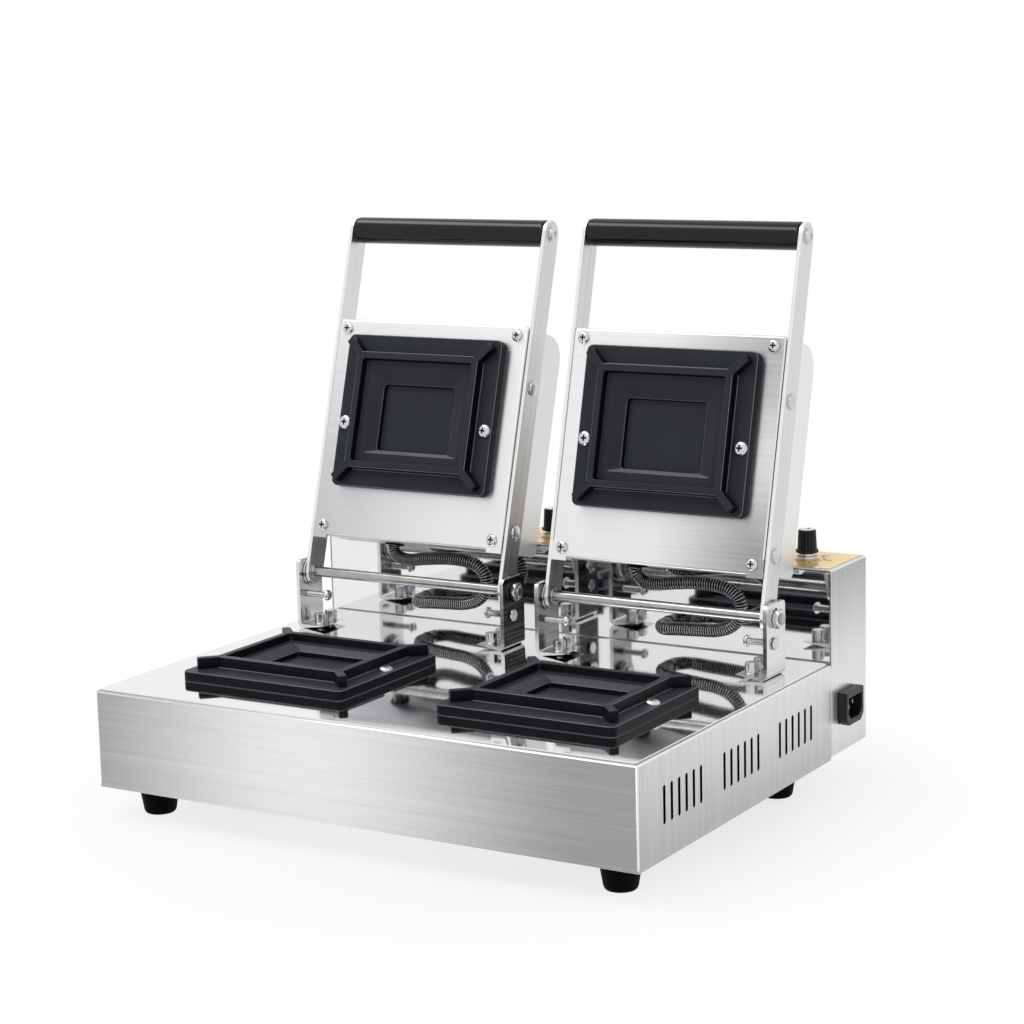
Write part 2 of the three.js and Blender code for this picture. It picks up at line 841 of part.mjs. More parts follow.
function handleGrip() {
  const radius = gripDiameter / 2;
  const bore = handleRodDiameter / 2 + fit;
  const half = armGapHalf - fit;
  const grip = lathe([
    [bore, -half],
    [radius - gripEdgeRadius, -half],
    [radius, gripEdgeRadius - half],
    [radius, half - gripEdgeRadius],
    [radius - gripEdgeRadius, half],
    [bore, half],
    [bore, -half],
  ], 24);
  return moved(grip.rotate([0, 90, 0]), 0, 0, armLength);
}

// Rod through the handle, with a domed head outside each arm
function handleRod() {
  const rod = handleRodDiameter / 2;
  const half = armOuterHalf + fit;
  const head = screwHeadDiameter / 2;
  const crown = half + screwHeadHeight;
  const shoulder = half + screwHeadHeight / 2;
  const profile = lathe([
    [0, -crown],
    [head / 2, -crown],
    [head, -shoulder],
    [head, -half],
    [rod, -half],
    [rod, half],
    [head, half],
    [head, shoulder],
    [head / 2, crown],
    [0, crown],
  ], 16);
  return moved(profile.rotate([0, 90, 0]), 0, 0, armLength);
}

// Fixed rod with a hex nut outside each bracket
function pivotRod() {
  const rod = bar('x', pivotRodDiameter, 2 * pivotRodEnd, -pivotRodEnd, 0, 0);
  const nutDiameter = pivotNutAcross / Math.cos(halfTurn / 6);
  const nut = bar('x', nutDiameter, pivotNutHeight, 0, 0, 0, 6);
  return join(
    rod,
    moved(nut, pivotNutEnd - pivotNutHeight, 0, 0),
    moved(nut, -pivotNutEnd, 0, 0),
  );
}

function pivotSpacer(side) {
  const start = side > 0 ? armOuterHalf + fit : -armOuterHalf - fit - spacerThickness;
  const disc = bar('x', spacerDiameter, spacerThickness, start, 0, 0, 24);
  const bore = bar(
    'x', pivotRodDiameter + 2 * fit, spacerThickness + 2 * overrun, start - overrun, 0, 0,
  );
  return cut(disc, bore);
}

// Folded bracket for the right-hand side, its foot turned in under the lid.
// It is drawn at the pivot and stands on the deck; side -1 mirrors it.
function bracket(side) {
  const floor = deckTop - pivotHeight;
  const top = floor + bracketHeight;
  const innerBend = bracketBend - bracketSheet;
  const outer = bracketOuterHalf;
  const inner = bracketInnerHalf;
  const tip = outer - bracketFoot;
  const section = new THREE.Shape();
  section.moveTo(tip, floor);
  section.absarc(outer - bracketBend, floor + bracketBend, bracketBend, -halfTurn / 2, 0);
  section.lineTo(outer, top);
  section.lineTo(inner, top);
  section.absarc(
    inner - innerBend, floor + bracketSheet + innerBend, innerBend, 0, -halfTurn / 2, true,
  );
  section.lineTo(tip, floor + bracketSheet);
  const strip = alongY(section, -bracketWidth / 2, bracketWidth / 2, 2);
  const corners = roundedRectangle(bracketWidth, 2 * bracketHeight, bracketTopRadius);
  const trimmed = common(
    strip, moved(alongX(corners, tip - overrun, outer + overrun), 0, 0, top - bracketHeight),
  );
  const slot = alongX(
    roundedRectangle(slotWidth, slotHeight, slotWidth / 2), inner - overrun, outer + overrun, 2,
  );
  const stopHole = bar(
    'x', stopScrewDiameter + 2 * fit, bracketSheet + 2 * overrun,
    inner - overrun, stopScrewSetback, -stopScrewDrop, 12,
  );
  const bolts = [-1, 1].map((place) => bar(
    'z', footBoltHole, bracketSheet + 2 * overrun,
    tip + footBoltInset, (place * footBoltPitch) / 2, floor - overrun, 12,
  ));
  const right = cut(trimmed, slot, stopHole, ...bolts);
  return side > 0 ? right : right.mirror([1, 0, 0]);
}

// Cross screw through the bracket under the pivot, its head to the inside
function stopScrew(side) {
  const outer = bracketOuterHalf + fit;
  const shank = bar(
    'x', stopScrewDiameter, stopScrewReach + bracketSheet, 0, 0, 0, 12,
  );
  const head = bar('x', stopScrewHead, stopScrewHeadHeight, 0, 0, 0, 12);
  const nut = bar('x', stopScrewHead, stopScrewTail, 0, 0, 0, 6);
  const start = outer - stopScrewReach - bracketSheet;
  const screw = join(
    moved(shank, start, 0, 0),
    moved(head, start - stopScrewHeadHeight + fit, 0, 0),
    moved(nut, outer - fit / 2, 0, 0),
  );
  const placed = moved(screw, fit / 2, stopScrewSetback, -stopScrewDrop);
  return side > 0 ? placed : placed.mirror([1, 0, 0]);
}

// Ribbed metal hose from inside the control box to inside the lid. It leaves the panel
// straight, runs right along the deck, turns up beside the right arm and comes back left
// under the lid to the hole in its cover. The route is kept in hose diameters, to the
// right, rearward and up from the middle of the hole in the panel.
const hoseRouteShares = [
  [0.75, -1.95, 0.06], [2.1, -2.21, 0.2], [3.7, -2.31, 0.3], [5.3, -2.41, 0.45],
  [6.5, -2.51, 0.9], [7.25, -2.56, 1.8], [7.2, -2.61, 2.9], [6.4, -2.66, 3.65],
  [5.2, -2.71, 3.9], [3.5, -2.71, 3.9], [1.7, -2.66, 3.7], [0.2, -2.56, 3.5],
  [-0.8, -2.41, 3.65],
];

// A point given in the lid's frame, turned back by its lean
function leaned(x, behind, rise, lean) {
  const swing = lean * degree;
  return new THREE.Vector3(
    x,
    pivotSetback + behind * Math.cos(swing) + rise * Math.sin(swing),
    pivotHeight - behind * Math.sin(swing) + rise * Math.cos(swing),
  );
}

function hoseRoute(lean) {
  const panel = baseDepth + 2 * fit;
  const step = hoseDiameter;
  const fromPanel = ([right, back, up]) => new THREE.Vector3(
    hosePanelSide + right * step, panel + back * step, hosePanelHeight + up * step,
  );
  const inside = step + frontPanelSheet;
  const mouth = framePlateRise + fit;
  const fromLid = (rise) => leaned(hoseLidSide, hoseLidSetback, rise, lean);
  return new THREE.CatmullRomCurve3([
    fromPanel([0, inside / step, 0]),
    fromPanel([0, 0, 0]),
    fromPanel([0, -1, 0]),
    ...hoseRouteShares.map(fromPanel),
    fromLid(mouth - step / 2),
    fromLid(mouth + coverSheet),
    fromLid(mouth + hoseInLid),
  ], false, 'centripetal');
}

function ribbedHose(route) {
  const rings = 2 * hoseRibs;
  const frames = route.computeFrenetFrames(rings, false);
  const vertices = [];
  const triangles = [];
  const ring = (index, radius) => {
    const start = vertices.length / 3;
    const centre = route.getPointAt(index / rings);
    for (let side = 0; side < hoseSides; side += 1) {
      const angle = (2 * halfTurn * side) / hoseSides;
      const point = centre.clone()
        .addScaledVector(frames.normals[index], radius * Math.cos(angle))
        .addScaledVector(frames.binormals[index], radius * Math.sin(angle));
      vertices.push(point.x, point.y, point.z);
    }
    return start;
  };
  const band = (from, to, outward) => {
    for (let side = 0; side < hoseSides; side += 1) {
      const next = (side + 1) % hoseSides;
      const [a, b, c, d] = [from + side, from + next, to + next, to + side];
      if (outward) triangles.push(a, b, c, a, c, d);
      else triangles.push(a, c, b, a, d, c);
    }
  };
  const outer = [];
  const bore = [];
  for (let index = 0; index <= rings; index += 1) {
    const crest = index % 2 === 0;
    outer.push(ring(index, (crest ? hoseDiameter : hoseValleyDiameter) / 2));
    if (index % (2 * ribsPerBoreRing) === 0) bore.push(ring(index, hoseBore / 2));
  }
  for (let index = 1; index < outer.length; index += 1) {
    band(outer[index - 1], outer[index], true);
  }
  for (let index = 1; index < bore.length; index += 1) {
    band(bore[index - 1], bore[index], false);
  }
  band(bore[0], outer[0], true);
  band(outer[outer.length - 1], bore[bore.length - 1], true);
  const geometry = new THREE.BufferGeometry();
  geometry.setAttribute('position', new THREE.Float32BufferAttribute(vertices, 3));
  geometry.setIndex(triangles);
  geometry.computeVertexNormals();
  return geometry;
}

// Lock nut on the hose's end, behind the panel
function hoseGland() {
  const front = baseDepth + 2 * fit + frontPanelSheet;
  const nutDiameter = glandDiameter / Math.cos(halfTurn / 6);
  const nut = bar('y', nutDiameter, glandThickness, 0, front, hosePanelHeight, 6);
  const bore = bar(
    'y', hoseDiameter + 2 * fit, glandThickness + 2 * overrun,
    0, front - overrun, hosePanelHeight, 16,
  );
  return cut(nut, bore);
}

// Assembly

function addBase(parent) {
  node(parent, 'base_shell', baseShell(), finishes.brushed);
  node(parent, 'polished_deck', polishedDeck(), finishes.mirror);
  node(parent, 'base_bottom_plate', bottomPlate(), finishes.zinc);
  const places = [
    ['front_left', -1, footInset], ['front_right', 1, footInset],
    ['rear_left', -1, baseDepth - footInset], ['rear_right', 1, baseDepth - footInset],
  ];
  for (const [name, side, y] of places) {
    const x = side * (baseWidth / 2 - footInset);
    const rubber = node(parent, `${name}_foot`, foot(), finishes.rubber);
    rubber.position.set(x, y, -casingSheet);
  }
  node(parent, 'control_box_shell', controlShell(), finishes.brushed);
  node(parent, 'control_front_panel', controlFrontPanel(), finishes.mirror);
  node(parent, 'control_back_plate', controlBackPlate(), finishes.brushed);
  node(parent, 'power_inlet', powerInlet(), finishes.plastic);
  node(parent, 'terminal_block', terminalBlock(), finishes.plastic);
}

function addDial(parent, name, headMiddle) {
  const dialMiddle = headMiddle + dialOffset;
  const label = dialLabel(dialMiddle + labelOffset, dialMiddle);
  node(parent, `${name}_dial_label`, label, finishes.label);
  const dial = new THREE.Group();
  dial.position.set(dialMiddle, dialDepth, controlTop);
  parent.add(dial);
  node(dial, `${name}_dial_collar`, dialCollar(), finishes.zinc);
  node(dial, `${name}_thermostat`, thermostat(), finishes.plastic);
  node(dial, `${name}_dial_shaft`, dialShaft(), finishes.zinc);
  node(dial, `${name}_knob`, knob(), finishes.plastic);
}

function addHead(parent, name, middle, lean) {
  const lower = node(parent, `${name}_lower_grill`, grillCasting(0, lowerFlangeLip), finishes.cast);
  lower.position.set(middle, lowerGrillMiddle, deckTop);
  const element = heatingElement();
  const lowerElement = node(
    parent, `${name}_lower_heating_element`, element, finishes.element,
  );
  lowerElement.position.copy(lower.position);

  const pivot = new THREE.Group();
  pivot.position.set(middle, pivotSetback, pivotHeight);
  parent.add(pivot);
  node(pivot, `${name}_pivot_rod`, pivotRod(), finishes.zinc);
  for (const [end, side] of [['left', -1], ['right', 1]]) {
    node(pivot, `${name}_head_${end}_bracket`, bracket(side), finishes.brushed);
    node(pivot, `${name}_head_${end}_spacer`, pivotSpacer(side), finishes.zinc);
    node(pivot, `${name}_head_${end}_stop_screw`, stopScrew(side), finishes.zinc);
  }

  const lid = new THREE.Group();
  lid.rotation.x = -lean * degree;
  pivot.add(lid);
  for (const [end, side] of [['left', -1], ['right', 1]]) {
    node(lid, `${name}_lid_${end}_arm`, arm(side), finishes.brushed);
  }
  node(lid, `${name}_lid_frame_plate`, framePlate(), finishes.brushed);
  node(lid, `${name}_lid_back_cover`, backCover(), finishes.brushed);
  node(lid, `${name}_handle_grip`, handleGrip(), finishes.plastic);
  node(lid, `${name}_handle_rod`, handleRod(), finishes.zinc);
  const casting = new THREE.Group();
  casting.position.set(0, -frameFront - fit, grillRise);
  casting.rotation.x = halfTurn / 2;
  lid.add(casting);
  const upper = grillCasting(-upperWellOffset, 0);
  node(casting, `${name}_upper_grill`, upper, finishes.cast);
  node(casting, `${name}_upper_heating_element`, element, finishes.element);

  const hose = new THREE.Group();
  hose.position.x = middle;
  parent.add(hose);
  node(hose, `${name}_hose`, ribbedHose(hoseRoute(lean)), finishes.conduit);
  const gland = node(hose, `${name}_hose_gland`, hoseGland(), finishes.zinc);
  gland.position.x = hosePanelSide;
}

const machine = new THREE.Group();
addBase(machine);
for (const [name, middle, lean] of headMiddles()) {
  addDial(machine, name, middle);
  addHead(machine, name, middle, lean);
}

// The origin is the middle of the footprint, on the surface that the feet stand on
const sandwichMaker = new THREE.Group();
sandwichMaker.name = 'sandwich_and_waffle_maker';
sandwichMaker.add(machine);
sandwichMaker.updateMatrixWorld(true);
const extent = new THREE.Box3().setFromObject(machine, true);
machine.position.set(
  -(extent.min.x + extent.max.x) / 2,
  -(extent.min.y + extent.max.y) / 2,
  -extent.min.z,
);

export default sandwichMaker;
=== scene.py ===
# Looks of a double sandwich and waffle maker: brushed and polished stainless sheet, cast
# non-stick grills, black grips and knobs, plated fasteners and ribbed steel conduits.
# Pieces are drawn in millimetres from the middle of the base's front bottom edge, +X to
# the right, +Y to the rear and +Z up. A lid's pieces are drawn about its pivot, upright.
from math import atan2, cos, pi, radians, sin

import bmesh
import bpy
from mathutils import Matrix, Vector


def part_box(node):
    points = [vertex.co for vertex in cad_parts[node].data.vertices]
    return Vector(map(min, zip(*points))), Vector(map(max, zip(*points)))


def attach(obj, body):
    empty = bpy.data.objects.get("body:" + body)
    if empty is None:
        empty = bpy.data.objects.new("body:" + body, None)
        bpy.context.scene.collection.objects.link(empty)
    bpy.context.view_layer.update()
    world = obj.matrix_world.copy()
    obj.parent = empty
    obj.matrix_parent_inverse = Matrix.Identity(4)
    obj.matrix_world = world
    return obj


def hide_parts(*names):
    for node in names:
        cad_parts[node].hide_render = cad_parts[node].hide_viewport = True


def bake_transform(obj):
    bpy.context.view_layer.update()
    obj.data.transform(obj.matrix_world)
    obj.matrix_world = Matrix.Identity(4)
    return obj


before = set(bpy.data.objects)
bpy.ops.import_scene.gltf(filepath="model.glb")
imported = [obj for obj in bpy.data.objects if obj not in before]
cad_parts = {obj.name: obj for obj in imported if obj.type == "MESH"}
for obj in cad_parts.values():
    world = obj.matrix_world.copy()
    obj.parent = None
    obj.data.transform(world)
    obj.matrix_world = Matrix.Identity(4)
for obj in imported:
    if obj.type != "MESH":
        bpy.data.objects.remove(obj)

scene = bpy.context.scene
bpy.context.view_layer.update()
MM = 0.001

# Sizes that the CAD solids have, in millimetres
DECK_INSET = 2.6
DECK_TOP = 70.0
BASE_DEPTH = 293.5
BASE_WIDTH = 440.0
FOOT_INSET = 30.0
CONTROL_FRONT = 293.8
CONTROL_REAR = 355.1
CONTROL_TOP = 138.3
DIAL_DEPTH = 325.0
DIAL_OFFSET = 78.5
PIVOT_DEPTH = 238.0
PIVOT_HEIGHT = 112.9
GRILL_RISE = 126.5
ARM_INNER = 86.3
ARM_OUTER = 89.3
ARM_LENGTH = 271.6
PLATE_LOW = 28.5
PLATE_HIGH = 198.5
PLATE_WIDTH = 172.0
# Each head's middle, and how many degrees its lid leans to the rear
HEADS = {"left": (-108.0, 16.5), "right": (108.0, 14.3)}
ENDS = (("left", -1), ("right", 1))

low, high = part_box("polished_deck")
BOX = Matrix.Translation((
    (low.x + high.x) / 2, low.y - DECK_INSET * MM, high.z - DECK_TOP * MM,
))


def shifted(x, y, z):
    return Matrix.Translation(Vector((x, y, z)) * MM)


def pivot_frame(side):
    return BOX @ shifted(HEADS[side][0], PIVOT_DEPTH, PIVOT_HEIGHT)


def lid_frame(side):
    return pivot_frame(side) @ Matrix.Rotation(-radians(HEADS[side][1]), 4, "X")


def dial_frame(side):
    return BOX @ shifted(HEADS[side][0] + DIAL_OFFSET, DIAL_DEPTH, CONTROL_TOP)


def linked(name, data):
    obj = bpy.data.objects.new(name, data)
    scene.collection.objects.link(obj)
    return obj


# Camera at the photograph's place, aimed a little right of the object's middle

def place_camera():
    azimuth, elevation, roll = radians(31.468), radians(10.326), radians(1.427)
    distance, focal_pixels, photo_pixels, sensor = 1.6304, 2577.28, 1024, 36
    back = Vector((
        sin(azimuth) * cos(elevation), -cos(azimuth) * cos(elevation), sin(elevation),
    ))
    right = Vector((cos(azimuth), sin(azimuth), 0))
    up = back.cross(right)
    across = right * cos(roll) - up * sin(roll)
    upward = right * sin(roll) + up * cos(roll)
    target = BOX @ (Vector((132.6, 0, 224.1)) * MM)
    data = bpy.data.cameras.new("camera")
    data.sensor_width = sensor
    data.lens = focal_pixels / photo_pixels * sensor
    data.clip_end = 20
    camera = linked("camera", data)
    turn = Matrix((across, upward, back)).transposed().to_4x4()
    camera.matrix_world = Matrix.Translation(target + back * distance) @ turn
    scene.camera = camera


place_camera()


# Materials

def tone(text):
    """A colour written as an sRGB hex value, as linear RGBA."""
    parts = [int(text[i:i + 2], 16) / 255 for i in (1, 3, 5)]
    return [c / 12.92 if c <= 0.04045 else ((c + 0.055) / 1.055) ** 2.4 for c in parts] + [1]


def add(tree, kind, inputs=None, **settings):
    """A shader node with its settings. Each input is a value, or is linked to an output or
    to a node's first output."""
    made = tree.nodes.new("ShaderNode" + kind)
    for name, value in settings.items():
        setattr(made, name, value)
    for key, value in (inputs or {}).items():
        if isinstance(value, bpy.types.Node):
            value = value.outputs[0]
        if isinstance(value, bpy.types.NodeSocket):
            tree.links.new(value, made.inputs[key])
        else:
            made.inputs[key].default_value = value
    return made


def new_material(name, colour):
    material = bpy.data.materials.new(name)
    material.use_nodes = True
    material.diffuse_color = tone(colour)
    tree = material.node_tree
    tree.nodes.clear()
    return material, tree, add(tree, "TexCoord").outputs


def finished(material, kind, inputs):
    """The material with one shader as its surface."""
    shader = add(material.node_tree, kind, inputs)
    add(material.node_tree, "OutputMaterial", {"Surface": shader})
    return material


def rate(size):
    """How often something as wide as a size in millimetres fits in a metre."""
    return 1 / (size * MM)


def spread(tree, pattern, from_value=0.0, to_value=1.0):
    """The middle half of a noise pattern's values, stretched over another range."""
    return add(tree, "MapRange", {
        "Value": pattern, "From Min": 0.25, "From Max": 0.75,
        "To Min": from_value, "To Max": to_value,
    })


def two_tone(tree, share, dark, pale):
    """Runs from one hex colour to another as share goes from 0 to 1."""
    mixed = add(tree, "Mix", {0: share, 6: tone(dark), 7: tone(pale)}, data_type="RGBA")
    return mixed.outputs[2]


def even(share):
    """A share of the paler tone that is the same all over; a share unlike the rest paints light
    or shade.
    """
    return (0, 0, 0), (0, 0, 0), 1.0, share, share


# The even middle share is the sheet's own tone; the bright share is a painted highlight
EVEN, PAINTED_BRIGHT = even(0.55), even(0.95)


def painted_light_share(tree, position, pool):
    """Smooth share of the paler tone, painted light and shade, from its value at a place to its
    value beyond a reach. pool is a stretch along each axis, the place, the reach in metres and
    the two shares."""
    stretch, centre, reach, at_centre, beyond = pool
    offset = add(tree, "VectorMath", {0: position, 1: centre}, operation="SUBTRACT")
    scaled = add(tree, "VectorMath", {0: offset, 1: stretch}, operation="MULTIPLY")
    distance = add(tree, "VectorMath", {0: scaled}, operation="LENGTH").outputs["Value"]
    return add(tree, "MapRange", {
        "Value": distance, "From Max": reach, "To Min": at_centre, "To Max": beyond,
    }, interpolation_type="SMOOTHSTEP")


# Streaks of brushed sheet: how often they change along each axis. The belt's scratches are
# too fine to show, so the streaks are drawn 3 mm wide, with finer ones in them.
LONG, FINE = rate(333.0), rate(3.03)
LEVEL = (LONG, LONG, FINE)
UPRIGHT = (FINE, FINE, LONG)
ACROSS = (LONG, FINE, LONG)


def brushed_stainless(
    name, dark, pale, roughness, grains=(LEVEL, LEVEL, ACROSS), turn=(0.25, 0.25),
    walls=EVEN, ends=EVEN, second_shade=None,
):
    """Stainless sheet drawn under an abrasive belt. Fine streaks run one way, lighter and
    darker by a hair. The sheen is drawn out across them and stays short along them. A broad
    painted reflection and shade runs over the sheet from a darker tone to a paler one.
    grains are the streaks on the faces that look to the front, to a side and up. turn is
    the part of a full turn that the sheen is turned by on the front and on the sides.
    walls and ends place the painted reflection and shade on the other faces and on those
    that look to a side, and the last argument places more painted shade on the walls."""
    material, tree, places = new_material(name, pale)
    place = places["Object"]
    facing = add(tree, "VectorMath", {0: places["Normal"]}, operation="ABSOLUTE")
    facing = add(tree, "SeparateXYZ", {0: facing}).outputs
    is_side = add(tree, "Math", {0: facing["X"], 1: 0.7}, operation="GREATER_THAN")
    is_top = add(tree, "Math", {0: facing["Z"], 1: 0.7}, operation="GREATER_THAN")
    front, side, top = grains
    rates = add(tree, "Mix", {0: is_side, 4: front, 5: side}, data_type="VECTOR").outputs[1]
    rates = add(tree, "Mix", {0: is_top, 4: rates, 5: top}, data_type="VECTOR").outputs[1]
    stretched = add(tree, "VectorMath", {0: place, 1: rates}, operation="MULTIPLY")
    streak = add(tree, "TexNoise", {
        "Vector": stretched, "Scale": 1.0, "Detail": 4.0, "Roughness": 0.72,
    })
    # Painted light and shade: one soft share on the walls, another on the faces that look to a
    # side
    wall_painted_light = painted_light_share(tree, place, walls)
    if second_shade:
        other = painted_light_share(tree, place, second_shade)
        wall_painted_light = add(tree, "Math", {0: wall_painted_light, 1: other}, operation="MULTIPLY")
    end_painted_light = painted_light_share(tree, place, ends)
    soft = add(tree, "Mix", {0: is_side, 2: wall_painted_light, 3: end_painted_light})
    # Streaks shift the tone by a seventh of its range, either way
    share = add(tree, "Math", {
        0: soft, 1: spread(tree, streak, -0.14, 0.14),
    }, operation="ADD", use_clamp=True)
    # Folds and broken edges look two ways at once, and get a painted highlight
    widest = add(tree, "Math", {0: facing["X"], 1: facing["Y"]}, operation="MAXIMUM")
    widest = add(tree, "Math", {0: widest, 1: facing["Z"]}, operation="MAXIMUM")
    fold_highlight = add(tree, "MapRange", {"Value": widest, "From Min": 0.97, "From Max": 0.86})
    share = add(tree, "Math", {0: share, 1: fold_highlight}, operation="MAXIMUM")
    return finished(material, "BsdfPrincipled", {
        "Base Color": two_tone(tree, share, dark, pale),
        "Metallic": 1.0,
        "Roughness": spread(tree, streak, roughness - 0.04, roughness + 0.05),
        "Anisotropic": 0.7,
        "Anisotropic Rotation": add(tree, "Mix", {0: is_side, 2: turn[0], 3: turn[1]}),
        "Tangent": add(tree, "Tangent", direction_type="RADIAL", axis="Z"),
        "Normal": add(tree, "Bump", {"Height": streak, "Strength": 0.1, "Distance": 0.00006}),
    })


def mirror_stainless():
    """Stainless sheet buffed to a mirror. It shows its surroundings crisply, a little wavy
    every 110 mm or so where the thin sheet isn't quite flat, with faint wiping marks."""
    material, tree, places = new_material("mirror_polished_stainless", "#eaebec")
    waves = add(tree, "TexNoise", {
        "Vector": places["Object"], "Scale": rate(111.0), "Detail": 0.5,
    })
    stretched = add(tree, "VectorMath", {
        0: places["Object"], 1: (rate(33.3), rate(11.1), rate(16.7)),
    }, operation="MULTIPLY")
    smears = add(tree, "TexNoise", {
        "Vector": stretched, "Scale": 1.0, "Detail": 5.0, "Roughness": 0.7,
    })
    return finished(material, "BsdfPrincipled", {
        "Base Color": two_tone(tree, spread(tree, smears), "#e6e7e9", "#eeeeee"),
        "Metallic": 1.0,
        "Roughness": spread(tree, smears, 0.03, 0.07),
        "Normal": add(tree, "Bump", {"Height": waves, "Strength": 0.25, "Distance": 0.0012}),
    })


def non_stick_aluminium():
    """Cast aluminium with a baked non-stick coat. It is a deep blue-black with a soft sheen,
    stippled by the coat's grain of half a millimetre. The walls are painted near black as
    painted shade, the flat faces are greyer in random patches, and the rounded edges get a
    pale painted highlight, most of all on the raised rim."""
    # Painted shade for the walls, the faces' own tone, and a painted highlight for the edges
    wall_shade, flat, edge, roughness = "#0a0b11", "#2f3239", "#8b8c95", 0.4
    material, tree, places = new_material("non_stick_cast_aluminium", flat)
    place = places["Object"]
    grain = add(tree, "TexNoise", {"Vector": place, "Scale": rate(0.556), "Detail": 3.0})
    patches = add(tree, "TexNoise", {"Vector": place, "Scale": rate(26.3), "Detail": 4.0})
    facing = add(tree, "VectorMath", {0: places["Normal"]}, operation="ABSOLUTE")
    level = add(tree, "SeparateXYZ", {0: facing}).outputs["Z"]
    height = add(tree, "SeparateXYZ", {0: place}).outputs["Z"]
    # Walls are painted near black as painted shade; faces keep their tone, varied in random
    # patches
    lit_share_and_patches = add(tree, "MapRange", {"Value": level, "From Min": 0.6, "From Max": 0.98})
    patchy = spread(tree, patches, 0.86, 1.1)
    lit_share_and_patches = add(tree, "Math", {0: lit_share_and_patches, 1: patchy}, operation="MULTIPLY")
    # Rounded edges lean half way between a wall and a face, and get the painted highlight
    lean = add(tree, "Math", {0: level, 1: 0.68}, operation="SUBTRACT")
    lean = add(tree, "Math", {0: lean}, operation="ABSOLUTE")
    edge_highlight_share = add(tree, "MapRange", {
        "Value": lean, "From Min": 0.12, "From Max": 0.26, "To Min": 1.0, "To Max": 0.0,
    })
    # The painted highlight is weaker on the low edges than on the rim's top
    raised = add(tree, "MapRange", {
        "Value": height, "From Min": 0.0108, "From Max": 0.0132, "To Min": 0.6, "To Max": 1.0,
    })
    edge_highlight_share = add(tree, "Math", {0: edge_highlight_share, 1: raised}, operation="MULTIPLY")
    body = two_tone(tree, lit_share_and_patches, wall_shade, flat)
    colour = add(tree, "Mix", {0: edge_highlight_share, 6: body, 7: tone(edge)}, data_type="RGBA")
    return finished(material, "BsdfPrincipled", {
        "Base Color": colour.outputs[2],
        "Roughness": spread(tree, grain, roughness - 0.06, roughness + 0.06),
        "Specular IOR Level": 0.12,
        "Normal": add(tree, "Bump", {"Height": grain, "Strength": 0.35, "Distance": 0.00012}),
    })


def moulded_black(name, dark, pale, roughness, grain, depth, gloss=0.35):
    """Black moulding compound. The mould's spark-eroded texture, or the powdery bloom on
    rubber, breaks the highlights into a soft band. It is too fine to show, so its grain is
    drawn about a millimetre wide. grain is that width in millimetres, and depth its depth
    in metres."""
    material, tree, places = new_material(name, pale)
    place = places["Object"]
    fine = add(tree, "TexNoise", {"Vector": place, "Scale": rate(grain), "Detail": 2.0})
    broad = add(tree, "TexNoise", {"Vector": place, "Scale": rate(16.7), "Detail": 3.0})
    return finished(material, "BsdfPrincipled", {
        "Base Color": two_tone(tree, spread(tree, broad), dark, pale),
        "Roughness": spread(tree, fine, roughness - 0.05, roughness + 0.05),
        "Specular IOR Level": gloss,
        "Normal": add(tree, "Bump", {"Height": fine, "Strength": 0.3, "Distance": depth}),
    })


def turned_metal(name, dark, pale, roughness, width):
    """Plated or drawn steel. Turning or drawing marks and a light mottle keep the highlights
    from looking like glass. The marks are too fine to show, so they are drawn wider. width
    is how wide, in millimetres."""
    material, tree, places = new_material(name, pale)
    place = places["Object"]
    marks = add(tree, "TexNoise", {"Vector": place, "Scale": rate(width), "Detail": 3.0})
    mottle = add(tree, "TexNoise", {"Vector": place, "Scale": rate(8.33), "Detail": 2.0})
    share = add(tree, "Mix", {0: 0.5, 2: marks, 3: mottle})
    return finished(material, "BsdfPrincipled", {
        "Base Color": two_tone(tree, spread(tree, share), dark, pale),
        "Metallic": 1.0,
        "Roughness": spread(tree, mottle, roughness - 0.05, roughness + 0.06),
        "Normal": add(tree, "Bump", {"Height": marks, "Strength": 0.15, "Distance": 0.00005}),
    })


def printed_gold_foil():
    """Gold foil label, screen printed and lacquered. It is a deep gold round the knob that
    pales to cream along the sheet, with a fine brushed grain under the lacquer."""
    material, tree, places = new_material("printed_gold_foil", "#f0dc9c")
    place = places["Object"]
    left, right = (
        add(tree, "VectorMath", {
            0: place, 1: dial_frame(side).translation,
        }, operation="DISTANCE").outputs["Value"]
        for side in HEADS
    )
    nearest = add(tree, "Math", {0: left, 1: right}, operation="MINIMUM")
    away = add(tree, "MapRange", {"Value": nearest, "From Min": 0.012, "From Max": 0.046})
    stretched = add(tree, "VectorMath", {
        0: place, 1: (rate(50.0), rate(0.667), rate(50.0)),
    }, operation="MULTIPLY")
    streaks = add(tree, "TexNoise", {"Vector": stretched, "Scale": 1.0, "Detail": 2.0})
    fade = add(tree, "Mix", {0: 0.12, 2: away, 3: streaks})
    return finished(material, "BsdfPrincipled", {
        "Base Color": two_tone(tree, fade, "#f4b834", "#fff0a8"),
        "Metallic": 0.6,
        "Roughness": 0.34,
        "Coat Weight": 0.5,
        "Coat Roughness": 0.12,
        "Normal": add(tree, "Bump", {"Height": streaks, "Strength": 0.08, "Distance": 0.00004}),
    })


# Painted reflection and shade: the front is paler near the middle and darker towards both ends,
# the sides darker towards the bottom
casing_steel = brushed_stainless(
    "belt_brushed_stainless", "#9c9d9e", "#ebebeb", 0.3, (LEVEL, UPRIGHT, ACROSS), (0.25, 0.0),
    ((1, 0, 0), (-0.042, 0, 0), 0.235, 1.0, 0.0),
    ((0, 0.7, 4.5), (0, 0.14, 0.105), 0.46, 0.9, 0.25),
)
